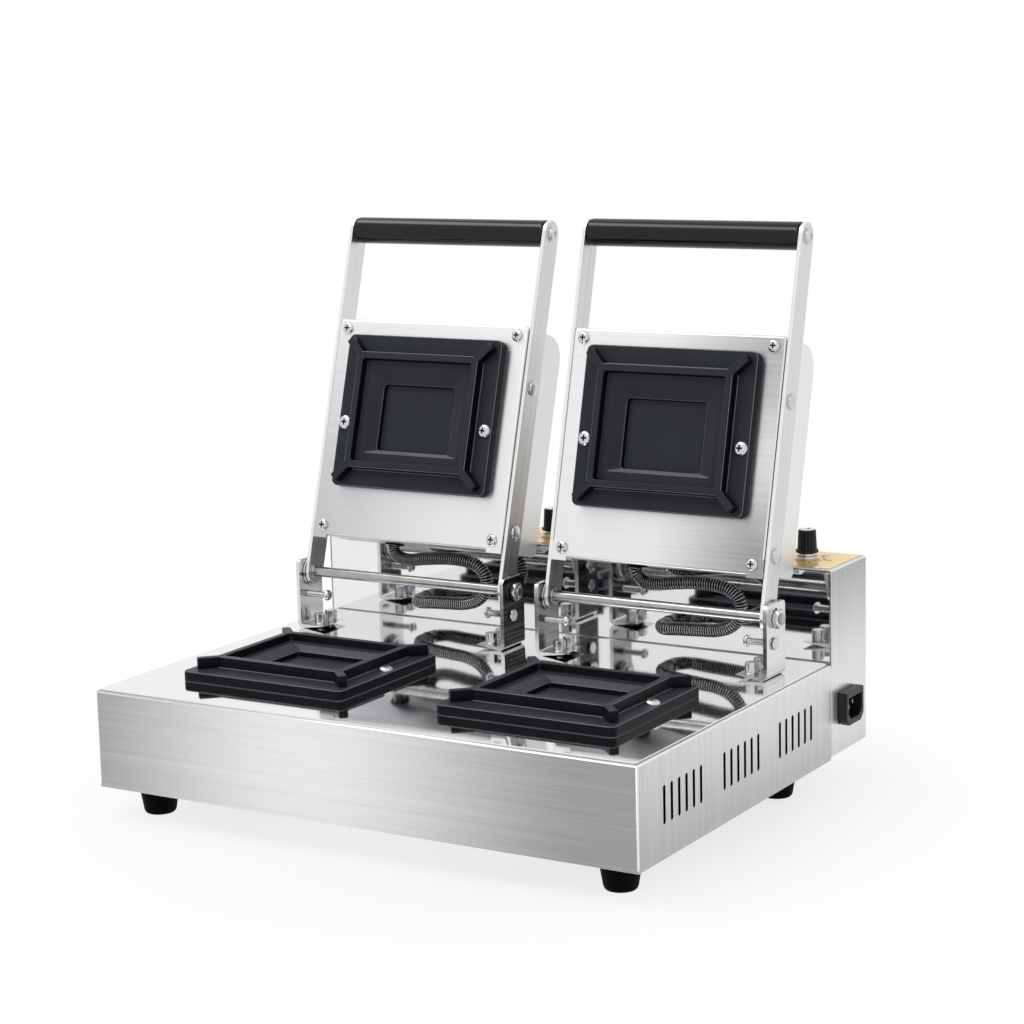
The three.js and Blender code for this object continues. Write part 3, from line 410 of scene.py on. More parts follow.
# Painted shade on each lid's plate: the left one darker towards its lower left, the right one
# darker along its right side, low down and less so high up
LID_STEELS = {
    "left": brushed_stainless(
        "left_shaded_brushed_stainless", "#c0c1c2", "#e8e8e9", 0.33,
        walls=((1, 0, 0.8), (-0.11, 0, 0.03), 0.17, 0.0, 1.0),
    ),
    "right": brushed_stainless(
        "shaded_brushed_stainless", "#9b9c9d", "#e6e6e6", 0.33,
        walls=((1, 0, 1), (0.088, 0, 0.03), 0.105, 0.0, 1.0),
        second_shade=((0.9, 0, 1), (0.088, 0, 0.19), 0.11, 0.2, 1.0),
    ),
}
# Lit and shaded copies of one satin sheet: the left lid's cover is painted darker as painted
# shade, the right one's paler as painted light
COVER_STEELS = {
    "left": brushed_stainless("satin_sheet_painted_shade", "#cdced1", "#e4e4e6", 0.36),
    "right": brushed_stainless("satin_sheet_painted_light", "#d8d8d9", "#eeeeee", 0.36),
}
# Grains and turned sheen of what is brushed upright on all its walls
ALL_UPRIGHT = (UPRIGHT, UPRIGHT, ACROSS), (0.0, 0.0)
# The narrow edges take a paler tone than the broad faces, a painted highlight
arm_steel = brushed_stainless(
    "lengthwise_brushed_flat_bar", "#b8b8b7", "#efefee", 0.3, *ALL_UPRIGHT, PAINTED_BRIGHT,
)
# The arms between the heads also get painted shade on their broad faces low down
inner_arm_steel = brushed_stainless(
    "shaded_flat_bar", "#96928d", "#efefee", 0.3, *ALL_UPRIGHT, PAINTED_BRIGHT,
    ((0, 0, 1), (0, 0, 0.03), 0.16, 0.05, 0.6),
)
# Painted shade on its sides: paler at one height and darker above and below it
control_steel = brushed_stainless(
    "upright_brushed_stainless", "#a6a7a8", "#e6e6e7", 0.3, *ALL_UPRIGHT,
    ends=((0, 0, 1), (0, 0, 0.07), 0.12, 1.0, 0.0),
)
bracket_steel = brushed_stainless("half_polished_stainless", "#bcbdbe", "#eeeeee", 0.16)
# The brackets between the heads are painted dark on their broad faces: a painted dark
# reflection on the left head's, painted shade on the right head's
BRACKET_STEELS = {
    "left_right": brushed_stainless(
        "painted_dark_reflection_stainless", "#101116", "#e8e8e8", 0.2, walls=PAINTED_BRIGHT, ends=even(0.02),
    ),
    "right_left": brushed_stainless(
        "shaded_bracket_stainless", "#75736f", "#e8e8e8", 0.16, walls=PAINTED_BRIGHT, ends=even(0.2),
    ),
}
mirror_steel = mirror_stainless()
grill_coat = non_stick_aluminium()
grip_plastic = moulded_black(
    "glossy_phenolic_moulding", "#07070b", "#0e0e14", 0.16, 1.11, 0.000002, 0.3,
)
knob_plastic = moulded_black("moulded_black_abs", "#0e0e10", "#18191b", 0.3, 0.625, 0.00006)
inlet_plastic = moulded_black("moulded_black_nylon", "#0d0d0f", "#17181a", 0.42, 0.714, 0.00008)
foot_rubber = moulded_black(
    "moulded_black_rubber", "#020202", "#050505", 0.62, 0.909, 0.0001, 0.05,
)
label_ink = moulded_black("screen_printed_ink", "#3d3122", "#4c3d2a", 0.5, 0.5, 0.00001)
plated = turned_metal("bright_zinc_plated_steel", "#b9bcc0", "#dcdddd", 0.22, 1.11)
rod_steel = turned_metal("drawn_stainless_rod", "#9c9b98", "#b2b1ae", 0.2, 1.43)
conduit_steel = turned_metal("strip_wound_steel_conduit", "#808184", "#aaabad", 0.24, 2.0)
# Painted shade for the conduit's grooves
conduit_groove_shade = turned_metal("conduit_groove_painted_shade", "#161617", "#242425", 0.5, 2.0)
sheath_steel = turned_metal("heat_tinted_element_sheath", "#4d4a44", "#77736a", 0.42, 2.5)
# Near black, for the walls of the casing's slots
slot_wall_finish = turned_metal("near_black_slot_wall", "#0c0b0b", "#191716", 0.6, 1.11)
# Near-black painted shade for the screws' cross recesses
recess_shade_finish = turned_metal("painted_recess_shade", "#1a1a1b", "#2c2c2d", 0.5, 1.11)
gold_label = printed_gold_foil()


# Shapes: a form is a list of points in millimetres and a list of faces

def lofted(loops, ring=False):
    """Skin over loops of equal count, capped at both ends unless it closes on itself."""
    count = len(loops[0])
    points = [tuple(point) for loop in loops for point in loop]
    faces = []
    for index in range(len(loops) if ring else len(loops) - 1):
        a, b = index * count, (index + 1) % len(loops) * count
        for j in range(count):
            k = (j + 1) % count
            faces.append((a + j, a + k, b + k, b + j))
    if not ring:
        faces.append(tuple(reversed(range(count))))
        faces.append(tuple(range(len(points) - count, len(points))))
    return points, faces


def turned(profile, sides=48):
    """Skin turned about z from (radius, height) pairs, flat at both ends."""
    angles = [2 * pi * index / sides for index in range(sides)]
    return lofted([
        [(radius * cos(a), radius * sin(a), height) for a in angles]
        for radius, height in profile
    ])


def put(form, matrix):
    points, faces = form
    return [tuple(matrix @ Vector(point)) for point in points], faces


def at(form, x, y, z):
    return put(form, Matrix.Translation((x, y, z)))


def joined(*forms):
    points, faces = [], []
    for more, skins in forms:
        start = len(points)
        points += more
        faces += [tuple(start + index for index in face) for face in skins]
    return points, faces


def rounded_rectangle(width, depth, radius, steps=5):
    """Corner arcs of a rectangle, anticlockwise from the right, as (x, y) pairs."""
    right, top = width / 2 - radius, depth / 2 - radius
    outline = []
    corners = [(right, top), (-right, top), (-right, -top), (right, -top)]
    for quarter, (x, y) in enumerate(corners):
        for step in range(steps + 1):
            angle = (quarter + step / steps) * pi / 2
            outline.append((x + radius * cos(angle), y + radius * sin(angle)))
    return outline


def rounded_bar(width, depth, z0, z1, edge):
    """Upright bar with small round edges all over."""
    loops = []
    for inset, z in [
        (edge, z0), (edge * 0.3, z0 + edge * 0.3), (0, z0 + edge),
        (0, z1 - edge), (edge * 0.3, z1 - edge * 0.3), (edge, z1),
    ]:
        outline = rounded_rectangle(width - 2 * inset, depth - 2 * inset, edge * 1.01, 3)
        loops.append([(x, y, z) for x, y in outline])
    return lofted(loops)


def along_x(form, side=1):
    """Turns a form drawn along z to point along +x, or -x."""
    return put(form, Matrix.Rotation(side * pi / 2, 4, "Y"))


def along_y(form, side=-1):
    """Turns a form drawn along z to point along +y, or -y."""
    return put(form, Matrix.Rotation(-side * pi / 2, 4, "X"))


def flipped(form):
    """Turns a form drawn upwards to point down."""
    return put(form, Matrix.Rotation(pi, 4, "X"))


def hexagon_reach(angle, across):
    return across / 2 / cos((angle + pi / 6) % (pi / 3) - pi / 6)


def hex_head(across, height, washer=0.0):
    """Hexagon with its corners turned off at both ends, on a round washer if it has one."""
    angles = [2 * pi * index / 24 for index in range(24)]
    crown = across * 0.505
    drop = across * 0.07
    rows = [
        (0, crown), (drop, across), (height - drop, across), (height, crown),
        (height, crown * 0.6),
    ]
    loops = []
    for z, limit in rows:
        reach = [min(hexagon_reach(a, across), limit) for a in angles]
        loops.append([(r * cos(a), r * sin(a), z) for r, a in zip(reach, angles)])
    head = lofted(loops)
    if not washer:
        return head
    rim = washer / 2
    ring = turned([(rim - 0.2, 0), (rim, 0.2), (rim, 0.8), (rim - 0.2, 1.0)], 32)
    return joined(ring, at(head, 0, 0, 1.0))


def pan_head(diameter, height, slot=0.52):
    """Domed screw head with a cross recess, standing on zero."""
    radius = diameter / 2
    angles = [2 * pi * index / 24 for index in range(24)]

    def cross(reach, width, z):
        loop = []
        for a in angles:
            c, s = max(abs(cos(a)), 1e-6), max(abs(sin(a)), 1e-6)
            arm = max(min(reach / c, width / s), min(reach / s, width / c))
            loop.append((arm * cos(a), arm * sin(a), z))
        return loop

    rounds = [
        (1.0, 0.0), (1.0, 0.3), (0.95, 0.52), (0.84, 0.74), (0.7, 0.9), (slot + 0.05, 1.0),
    ]
    loops = [
        [(radius * r * cos(a), radius * r * sin(a), height * h) for a in angles]
        for r, h in rounds
    ]
    loops.append(cross(radius * slot, radius * 0.13, height))
    loops.append(cross(radius * slot * 0.8, radius * 0.09, height * 0.45))
    return lofted(loops)


def recess_shade_form(diameter, height, slot=0.52):
    """Dark insert as the floor of a cross recess, just under the top of its screw head: painted
    shade in the recess.
    """
    reach, width = diameter / 2 * slot * 0.94, diameter / 2 * 0.12
    return joined(*(
        rounded_bar(2 * wide, 2 * deep, height * 0.5, height * 0.93, 0.05)
        for wide, deep in ((reach, width), (width, reach))
    ))


def dome_head(diameter, height):
    """Plain domed cap, standing on zero."""
    radius = diameter / 2
    arc = [(radius, 0), (radius, height * 0.35)]
    arc += [
        (radius * cos(radians(step)), height * (0.35 + 0.65 * sin(radians(step))))
        for step in (18, 36, 54, 72, 84)
    ]
    return turned(arc, 40)


def dress(mesh, material):
    mesh.materials.clear()
    mesh.materials.append(material)


def finish_node(node, material):
    dress(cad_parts[node].data, material)


def finish_mesh(obj, material, sharp):
    """Its material, and smooth shading that keeps edges above an angle hard and flats flat."""
    mesh = obj.data
    dress(mesh, material)
    mesh.shade_smooth()
    mesh.set_sharp_from_angle(angle=radians(sharp))
    weighted = obj.modifiers.new("flats_kept_flat", "WEIGHTED_NORMAL")
    weighted.keep_sharp = True


def piece(name, form, material, body, place=BOX, replaces=(), sharp=38):
    """Adds a form to the scene as one piece that rides on a body."""
    points, faces = form
    mesh = bpy.data.meshes.new(name)
    mesh.from_pydata([Vector(point) * MM for point in points], [], faces)
    work = bmesh.new()
    work.from_mesh(mesh)
    bmesh.ops.recalc_face_normals(work, faces=work.faces)
    work.to_mesh(mesh)
    work.free()
    obj = linked(name, mesh)
    obj.matrix_world = place
    finish_mesh(obj, material, sharp)
    if body:
        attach(obj, body)
    if replaces:
        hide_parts(*replaces)
    return obj


def fitting(name, form, body, place=BOX, replaces=()):
    """A screw, nut or other plated piece."""
    piece(name, form, plated, body, place, replaces)


def softened(name, node, material, body, edge):
    """A CAD sheet or moulding again with its sharp edges broken by a small radius."""
    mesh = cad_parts[node].data.copy()
    mesh.name = name
    obj = linked(name, mesh)
    work = bmesh.new()
    work.from_mesh(mesh)
    bmesh.ops.remove_doubles(work, verts=work.verts, dist=1e-6)
    bmesh.ops.dissolve_limit(
        work, angle_limit=radians(1), verts=work.verts, edges=work.edges,
    )
    hard = [
        e for e in work.edges
        if len(e.link_faces) == 2 and e.calc_face_angle(0) > radians(55)
    ]
    bmesh.ops.bevel(
        work, geom=hard, offset=edge * MM, segments=2, profile=0.5, affect="EDGES",
        clamp_overlap=True,
    )
    work.to_mesh(mesh)
    work.free()
    finish_mesh(obj, material, 50)
    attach(obj, body)
    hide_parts(node)
    return obj


# Conduits: from inside the control box, along the deck and up into the lid

HOSE_DIAMETER = 10.0
HOSE_PANEL = (-21.0, 294.1, 87.0)
# Where the conduit enters the lid, left of the pivot's middle and behind it, and the
# heights at which it goes in
HOSE_ENTRY = (-34.0, 27.0)
ENTRY_RISES = (23.8, 30.0, 36.8)
# Stations from the hole in the panel to the lid, in diameters
HOSE_STEPS = [
    (0, 1.1, 0), (0, 0, 0), (0, -1, 0),
    (0.75, -1.95, 0.06), (2.1, -2.21, 0.2), (3.7, -2.31, 0.3), (5.3, -2.41, 0.45),
    (6.5, -2.51, 0.9), (7.25, -2.56, 1.8), (7.2, -2.61, 2.9), (6.4, -2.66, 3.65),
    (5.2, -2.71, 3.9), (3.5, -2.71, 3.9), (1.7, -2.66, 3.7), (0.2, -2.56, 3.5),
    (-0.8, -2.41, 3.65),
]


def hose_stations(side):
    middle, lean = HEADS[side]
    start = Vector((middle, 0, 0)) + Vector(HOSE_PANEL)
    stations = [start + Vector(step) * HOSE_DIAMETER for step in HOSE_STEPS]
    across, behind = HOSE_ENTRY
    swing = radians(lean)
    for rise in ENTRY_RISES:
        stations.append(Vector((
            middle + across, PIVOT_DEPTH + behind * cos(swing) + rise * sin(swing),
            PIVOT_HEIGHT - behind * sin(swing) + rise * cos(swing),
        )))
    return stations


def smooth_line(stations):
    """Points close together on a centripetal curve through the stations."""
    line, steps = [], 40
    last = len(stations) - 1
    for index in range(last):
        b, c = stations[index], stations[index + 1]
        a = stations[index - 1] if index else 2 * b - c
        d = stations[index + 2] if index + 2 <= last else 2 * c - b
        ta, tb, tc = ((q - p).length ** 0.5 for p, q in ((a, b), (b, c), (c, d)))
        m1 = ((b - a) / ta - (c - a) / (ta + tb) + (c - b) / tb) * tb
        m2 = ((c - b) / tb - (d - b) / (tb + tc) + (d - c) / tc) * tb
        for step in range(steps):
            t = step / steps
            line.append(
                b + m1 * t + (3 * (c - b) - 2 * m1 - m2) * t * t
                + (2 * (b - c) + m1 + m2) * t * t * t
            )
    line.append(stations[-1])
    return line


def even_line(line, spacing):
    """The same line with its points an even distance apart."""
    lengths = [0.0]
    for p, q in zip(line, line[1:]):
        lengths.append(lengths[-1] + (q - p).length)
    count = round(lengths[-1] / spacing)
    result, j = [], 0
    for index in range(count + 1):
        goal = lengths[-1] * index / count
        while j < len(lengths) - 2 and lengths[j + 1] < goal:
            j += 1
        share = (goal - lengths[j]) / max(lengths[j + 1] - lengths[j], 1e-9)
        result.append(line[j].lerp(line[j + 1], min(share, 1)))
    return result, lengths[-1]


# A rib and its seam repeat all along the conduit
RIB_PITCH = 2.0
RIB_RADII = (4.98, 4.98, 4.75, 3.95, 3.95)


def ribbed_conduit(side):
    """Strip-wound conduit, 10 mm over its ribs, which follow each other every 2 mm."""
    spacing = RIB_PITCH / len(RIB_RADII)
    line, length = even_line(smooth_line(hose_stations(side)), spacing)
    sides = 18
    across = Vector((1, 0, 0))
    loops = []
    for index, centre in enumerate(line):
        ahead = line[min(index + 1, len(line) - 1)] - line[max(index - 1, 0)]
        ahead.normalize()
        across = (across - ahead * across.dot(ahead)).normalized()
        over = ahead.cross(across)
        radius = RIB_RADII[index % len(RIB_RADII)]
        loops.append([
            centre + across * (radius * cos(a)) + over * (radius * sin(a))
            for a in (2 * pi * step / sides for step in range(sides))
        ])
    conduit = piece(
        f"{side}_conduit", lofted(loops), conduit_steel, None,
        replaces=[f"{side}_hose"], sharp=24,
    )
    conduit.data.materials.append(conduit_groove_shade)
    # The slope down into each groove and its floor take the near-black finish: painted shade in
    # the grooves
    for face in conduit.data.polygons:
        ring = face.index // sides % len(RIB_RADII)
        face.material_index = 1 if ring in (2, 3) else 0
    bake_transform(conduit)


for side in HEADS:
    ribbed_conduit(side)


# Base box

casing = softened("casing", "base_shell", casing_steel, "base", 0.7)
casing.data.materials.append(slot_wall_finish)
WALL_INSIDE, SLOTS_LOW, SLOTS_HIGH = 219.0, 18.0, 50.0
for face in casing.data.polygons:
    # The slots' walls are drawn near black
    x, _, z = (BOX.inverted() @ face.center) / MM
    if abs(x) > WALL_INSIDE and SLOTS_LOW < z < SLOTS_HIGH and abs(face.normal.x) < 0.3:
        face.material_index = 1
finish_node("polished_deck", mirror_steel)
softened("bottom_tray", "base_bottom_plate", casing_steel, "base", 0.4)


def rubber_foot():
    """Tapered rubber foot, recessed for its screw."""
    return turned([
        (4.0, -14.8), (4.3, -22.8), (4.8, -23.6), (8.6, -23.8), (10.2, -23.3), (11.2, -22.2),
        (11.8, -20.4), (14.7, -2.6), (15.0, -1.2), (14.9, -0.3), (14.5, 0.0), (3.0, 0.0),
    ], 56)


for end, y in (("front", FOOT_INSET), ("rear", BASE_DEPTH - FOOT_INSET)):
    for side, sign in ENDS:
        x = sign * (BASE_WIDTH / 2 - FOOT_INSET)
        piece(
            f"{end}_{side}_rubber_foot", at(rubber_foot(), x, y, -1.2), foot_rubber, "base",
            replaces=[f"{end}_{side}_foot"],
        )
        screw = at(flipped(pan_head(7.4, 2.0)), x, y, -15.7)
        fitting(f"{end}_{side}_foot_screw", screw, "base")

# Black seal along the rear seam, inside, between the bottom plate and the control box
seal = at(rounded_bar(432.0, 1.3, 0.1, 7.0, 0.2), 0, BASE_DEPTH - 0.8, 0)
piece("rear_seam_seal", seal, foot_rubber, "base")

INNER_SCREWS, TRAY_SCREWS, BACK_SCREWS, EDGE_SCREWS = 70.0, 205.0, 208.0, 206.0
TRAY_SCREW_INSET = 14.0
BACK_SCREW_RISES = (12.0, 126.0)
bottom_screws = [
    at(flipped(pan_head(6.0, 1.6)), x, y, -1.15)
    for x in (-TRAY_SCREWS, -INNER_SCREWS, INNER_SCREWS, TRAY_SCREWS)
    for y in (TRAY_SCREW_INSET, BASE_DEPTH - TRAY_SCREW_INSET)
]
fitting("bottom_plate_screws", joined(*bottom_screws), "base")


# Control box

softened("control_casing", "control_box_shell", control_steel, "base", 0.35)
finish_node("control_front_panel", mirror_steel)
softened("back_plate", "control_back_plate", casing_steel, "base", 0.3)
back_screws = [
    at(along_y(pan_head(6.4, 1.7), 1), x, CONTROL_REAR - 1.25, z)
    for x in (-BACK_SCREWS, -INNER_SCREWS, INNER_SCREWS, BACK_SCREWS)
    for z in BACK_SCREW_RISES
]
fitting("back_plate_screws", joined(*back_screws), "base")
seam_screws = [
    at(pan_head(5.4, 1.4), x, CONTROL_FRONT + 5.2, CONTROL_TOP - 0.05)
    for x in (-EDGE_SCREWS, EDGE_SCREWS)
]
fitting("front_edge_screws", joined(*seam_screws), "base")
finish_node("terminal_block", inlet_plastic)

softened("inlet_moulding", "power_inlet", inlet_plastic, "base", 0.5)
INLET_DEPTH, INLET_HEIGHT, INLET_FACE = BASE_DEPTH + 26.0, 33.0, BASE_WIDTH / 2 + 7.3
pins = [
    at(along_x(rounded_bar(4.1, 2.1, 0, 12.1, 0.5)), INLET_FACE - 17.1,
       INLET_DEPTH + place * 7.0, INLET_HEIGHT + (-1.7 if place == 0 else 1.7))
    for place in (-1, 0, 1)
]
fitting("inlet_pins", joined(*pins), "base")


# Dials: label, collar, fluted knob with a bright cap

TICK_START = 11.6
NUMBER_REACH, NUMBER_SIZE = 16.6, 3.4
LABEL_FACE = CONTROL_TOP + 0.4


def fluted_loop(radius, depth, flutes, z):
    """Circle with round flutes pressed into it."""
    loop = []
    for index in range(flutes * 8):
        angle = 2 * pi * index / (flutes * 8)
        dip = max(cos(flutes * angle), 0.0) ** 0.7 * depth
        loop.append(((radius - dip) * cos(angle), (radius - dip) * sin(angle), z))
    return loop


def knob_body():
    """Grip with 18 flutes over a notched skirt."""
    floor = 5.2
    rows = [
        (8.1, 0.0, 0.0), (8.4, 0.0, 0.25), (8.4, 0.0, 0.9), (8.4, 0.55, 1.0), (8.3, 0.75, 2.0),
        (7.5, 0.55, 2.25), (7.3, 0.7, 2.6), (7.2, 0.75, 3.4), (6.6, 0.75, 15.0),
        (6.5, 0.62, 16.0), (6.3, 0.4, 16.6), (6.0, 0.15, 16.9), (5.2, 0.0, 16.9),
    ]
    return lofted([
        fluted_loop(radius, depth, 18, floor + rise) for radius, depth, rise in rows
    ])


def knob_cap():
    """Bright disc let into the top of the knob."""
    return turned([(5.4, 21.9), (5.4, 22.15), (5.2, 22.28), (4.6, 22.34), (0.4, 22.38)], 40)


def dial_marks(side):
    """Ticks and degree numbers round a dial, printed on its label."""
    x, y = HEADS[side][0] + DIAL_OFFSET, DIAL_DEPTH
    ticks = []
    for index in range(26):
        angle = radians(-60 + index * 12) + pi
        length = 3.4 if index % 5 == 0 else 2.0
        reach = TICK_START + length / 2
        place = Matrix.Translation((x + reach * cos(angle), y + reach * sin(angle), LABEL_FACE))
        spin = Matrix.Rotation(angle - pi / 2, 4, "Z")
        ticks.append(put(rounded_bar(0.55, length, 0, 0.06, 0.02), place @ spin))
    piece(f"{side}_dial_ticks", joined(*ticks), label_ink, "base")
    for index, value in enumerate(("50", "100", "150", "200", "250", "300")):
        name = f"{side}_dial_number_{value}"
        angle = radians(-60 + index * 60) + pi
        data = bpy.data.curves.new(name, "FONT")
        data.body = value
        data.size = NUMBER_SIZE * MM
        data.extrude = 0.03 * MM
        data.align_x = data.align_y = "CENTER"
        letters = linked("number_outline", data)
        bpy.context.view_layer.update()
        graph = bpy.context.evaluated_depsgraph_get()
        mesh = bpy.data.meshes.new_from_object(letters.evaluated_get(graph))
        bpy.data.objects.remove(letters)
        number = linked(name, mesh)
        dress(mesh, label_ink)
        number.matrix_world = BOX @ shifted(
            x + NUMBER_REACH * cos(angle), y + NUMBER_REACH * sin(angle), LABEL_FACE + 0.03,
        )
        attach(number, "base")


def add_dial(side):
    axis, body = dial_frame(side), f"{side}_knob"
    finish_node(f"{side}_dial_label", gold_label)
    finish_node(f"{side}_thermostat", inlet_plastic)
    finish_node(f"{side}_dial_shaft", plated)
    dial_marks(side)
    collar = turned([
        (5.1, 0.4), (9.0, 0.4), (9.2, 0.6), (9.2, 1.3), (8.9, 1.5), (8.1, 1.6), (8.0, 1.8),
        (8.0, 3.2), (7.7, 3.4), (6.4, 3.45), (6.3, 4.5), (5.1, 4.6),
    ], 64)
    fitting(f"{side}_dial_washer", collar, "base", axis, [f"{side}_dial_collar"])
    piece(
        f"{side}_fluted_knob", knob_body(), knob_plastic, body, axis,
        [f"{side}_knob"], sharp=30,
    )
    fitting(f"{side}_knob_cap", knob_cap(), body, axis)
    line = at(rounded_bar(0.9, 4.4, 22.0, 22.6, 0.2), 0, 3.0, 0)
    piece(f"{side}_knob_pointer", line, knob_plastic, body, axis)


for side in HEADS:
    add_dial(side)


# Cast grills: loops of (width, depth, corner radius, height), flange on zero

CASTING_LOOPS = [
    (117.6, 97.2, 4.2, -11), (119.2, 98.8, 5, -10.2), (119.2, 98.8, 5, 0),
    (138.2, 117.8, 4.5, 0), (139.2, 118.8, 5, 0.5), (139.2, 118.8, 5, 5.9),
    (138.8, 118.4, 4.8, 6.8), (137.6, 117.2, 4.2, 7.3), (111.6, 92.4, 3.8, 7.3),
    (110.6, 91.4, 3.3, 7.7), (110.2, 91, 3.1, 8.6), (109.4, 90.2, 2.7, 14.3),
    (108.9, 89.7, 2.5, 15.0), (108, 88.8, 2.1, 15.3), (100.2, 81, 2, 15.3),
    (99, 79.8, 2.2, 15.0), (98.6, 79.4, 2.6, 14.3), (97.6, 78.4, 3, 10.4),
    (97, 77.8, 3, 9.7), (95.6, 76.4, 2.6, 9.4), (85.4, 66.2, 2.5, 9.4), (84.2, 65.0, 2.2, 9.2),
]
WELL_LOOPS = [
    (66, 52.8, 3, 6.1), (64.8, 51.6, 3, 5.6), (64.2, 51, 3, 2.9), (63.4, 50.2, 2.6, 2.1),
    (61.6, 48.4, 2.2, 1.9),
]

EAR_LENGTH = 16.6
EAR_CORNER_X, EAR_CORNER_Y = 52.1, 42.5


def grill(well_shift, screw_shift, lip):
    """Casting with its raised rim, stepped ledge, sloping sides and flat well. Four ears
    run out from the rim's corners, and two screws hold the flange down."""
    loops = []
    for group, shift in ((CASTING_LOOPS, 0), (WELL_LOOPS, well_shift)):
        for width, depth, radius, z in group:
            # Only the flange is drawn out to the front, by the lip
            longer = lip if width > 130 else 0
            outline = rounded_rectangle(width, depth + longer, radius)
            loops.append([(x, y + shift - longer / 2, z) for x, y in outline])
    ears = []
    for across in (-1, 1):
        for along in (-1, 1):
            corner = Matrix.Translation((across * EAR_CORNER_X, along * EAR_CORNER_Y, 0))
            spin = Matrix.Rotation(atan2(along, across), 4, "Z")
            ear = at(rounded_bar(EAR_LENGTH, 6.5, 7.0, 15.27, 0.9), EAR_LENGTH / 2, 0, 0)
            ears.append(put(ear, corner @ spin))
    screw_offset, flange_face = 63.0, 7.28
    screws, recesses = (
        joined(*[
            at(form(11.0, 2.9, 0.42), x, screw_shift, flange_face)
            for x in (-screw_offset, screw_offset)
        ])
        for form in (pan_head, recess_shade_form)
    )
    return joined(lofted(loops), *ears), screws, recesses


def add_grill(name, node, body, place, well_shift, screw_shift, lip):
    casting, screws, recesses = grill(well_shift, screw_shift, lip)
    piece(f"{name}_casting", casting, grill_coat, body, place, [node])
    fitting(f"{name}_flange_screws", screws, body, place)
    piece(
        f"{name}_flange_screw_recess_shades", recesses, recess_shade_finish, body, place,
    )


# Heads: brackets, pivot, arms, plate, cover and handle

# Places from the pivot's middle, except for the height of the brackets' bolts
HINGE_HALF = 100.4
NUT_OFFSET, SLEEVE_OFFSET = 94.85, 84.9
STOP_OFFSET, STOP_DEPTH, STOP_RISE = 74.0, -3.0, -17.5
BOLT_OFFSET, BOLT_SPREAD, BOLT_HEIGHT = 78.5, 7.0, 73.0


def threaded_stud(diameter, length):
    """Stud with a thread that repeats every 0.8 mm."""
    profile, z, pitch = [], 0.0, 0.8
    while z < length:
        profile += [(diameter / 2 - 0.32, z), (diameter / 2, z + pitch / 2)]
        z += pitch
    return turned(profile, 20)


def add_pivot(side):
    place = pivot_frame(side)
    rod = along_x(turned([
        (3.4, -HINGE_HALF), (4.0, 0.7 - HINGE_HALF), (4.0, HINGE_HALF - 0.7), (3.4, HINGE_HALF),
    ], 32))
    piece(
        f"{side}_hinge_rod", rod, rod_steel, "base", place,
        [f"{side}_pivot_rod"],
    )
    sleeve = turned([(4.0, 0), (6.4, 0), (6.6, 0.2), (6.6, 1.0), (6.4, 1.2), (4.0, 1.2)], 32)
    nuts = [
        at(along_x(form, sign), sign * offset, 0, 0)
        for sign in (-1, 1)
        for form, offset in ((hex_head(13.0, 4.0), NUT_OFFSET), (sleeve, SLEEVE_OFFSET))
    ]
    fitting(f"{side}_hinge_nuts", joined(*nuts), "base", place)
    for end, sign in ENDS:
        head = f"{side}_head_{end}"
        softened(
            f"{head}_folded_bracket", f"{head}_bracket",
            BRACKET_STEELS.get(f"{side}_{end}", bracket_steel), "base", 0.35,
        )
        disc = turned([
            (4.3, 0), (10.7, 0), (11.0, 0.3), (11.0, 1.3), (10.7, 1.6), (4.3, 1.6),
        ], 56)
        fitting(
            f"{head}_spacer_disc", at(along_x(disc, sign), sign * (ARM_OUTER + 0.3), 0, 0),
            "base", place, [f"{head}_spacer"],
        )
        screw = joined(
            threaded_stud(5.0, 20.8), at(flipped(pan_head(8.6, 3.0)), 0, 0, 0.3),
            at(hex_head(8.6, 1.6), 0, 0, 20.9),
        )
        fitting(
            f"{head}_stop_bolt",
            at(along_x(screw, sign), sign * STOP_OFFSET, STOP_DEPTH, STOP_RISE),
            "base", place, [f"{head}_stop_screw"],
        )
        bolts = [
            at(hex_head(8.0, 7.4, 9.6), sign * BOLT_OFFSET, y, BOLT_HEIGHT - PIVOT_HEIGHT)
            for y in (-BOLT_SPREAD, BOLT_SPREAD)
        ]
        fitting(f"{head}_foot_bolts", joined(*bolts), "base", place)


def flat_arm(sign):
    """Flat bar with round ends and broken edges."""
    loops = []
    for inset, x in ((0.5, 0.0), (0.15, 0.15), (0, 0.5), (0, 2.5), (0.15, 2.85), (0.5, 3.0)):
        radius = 10.0 - inset
        outline = []
        for start, z in ((pi, 0.0), (0.0, ARM_LENGTH)):
            for step in range(25):
                angle = start + pi * step / 24
                outline.append((radius * cos(angle), z + radius * sin(angle)))
        loops.append([(sign * (ARM_INNER + x), y, z) for y, z in outline])
    return lofted(loops)


# Places and sizes about the pivot of a lid that stands upright
PLATE_FRONT = -11.5
WINDOW_WIDTH, WINDOW_HEIGHT = 119.8, 99.4


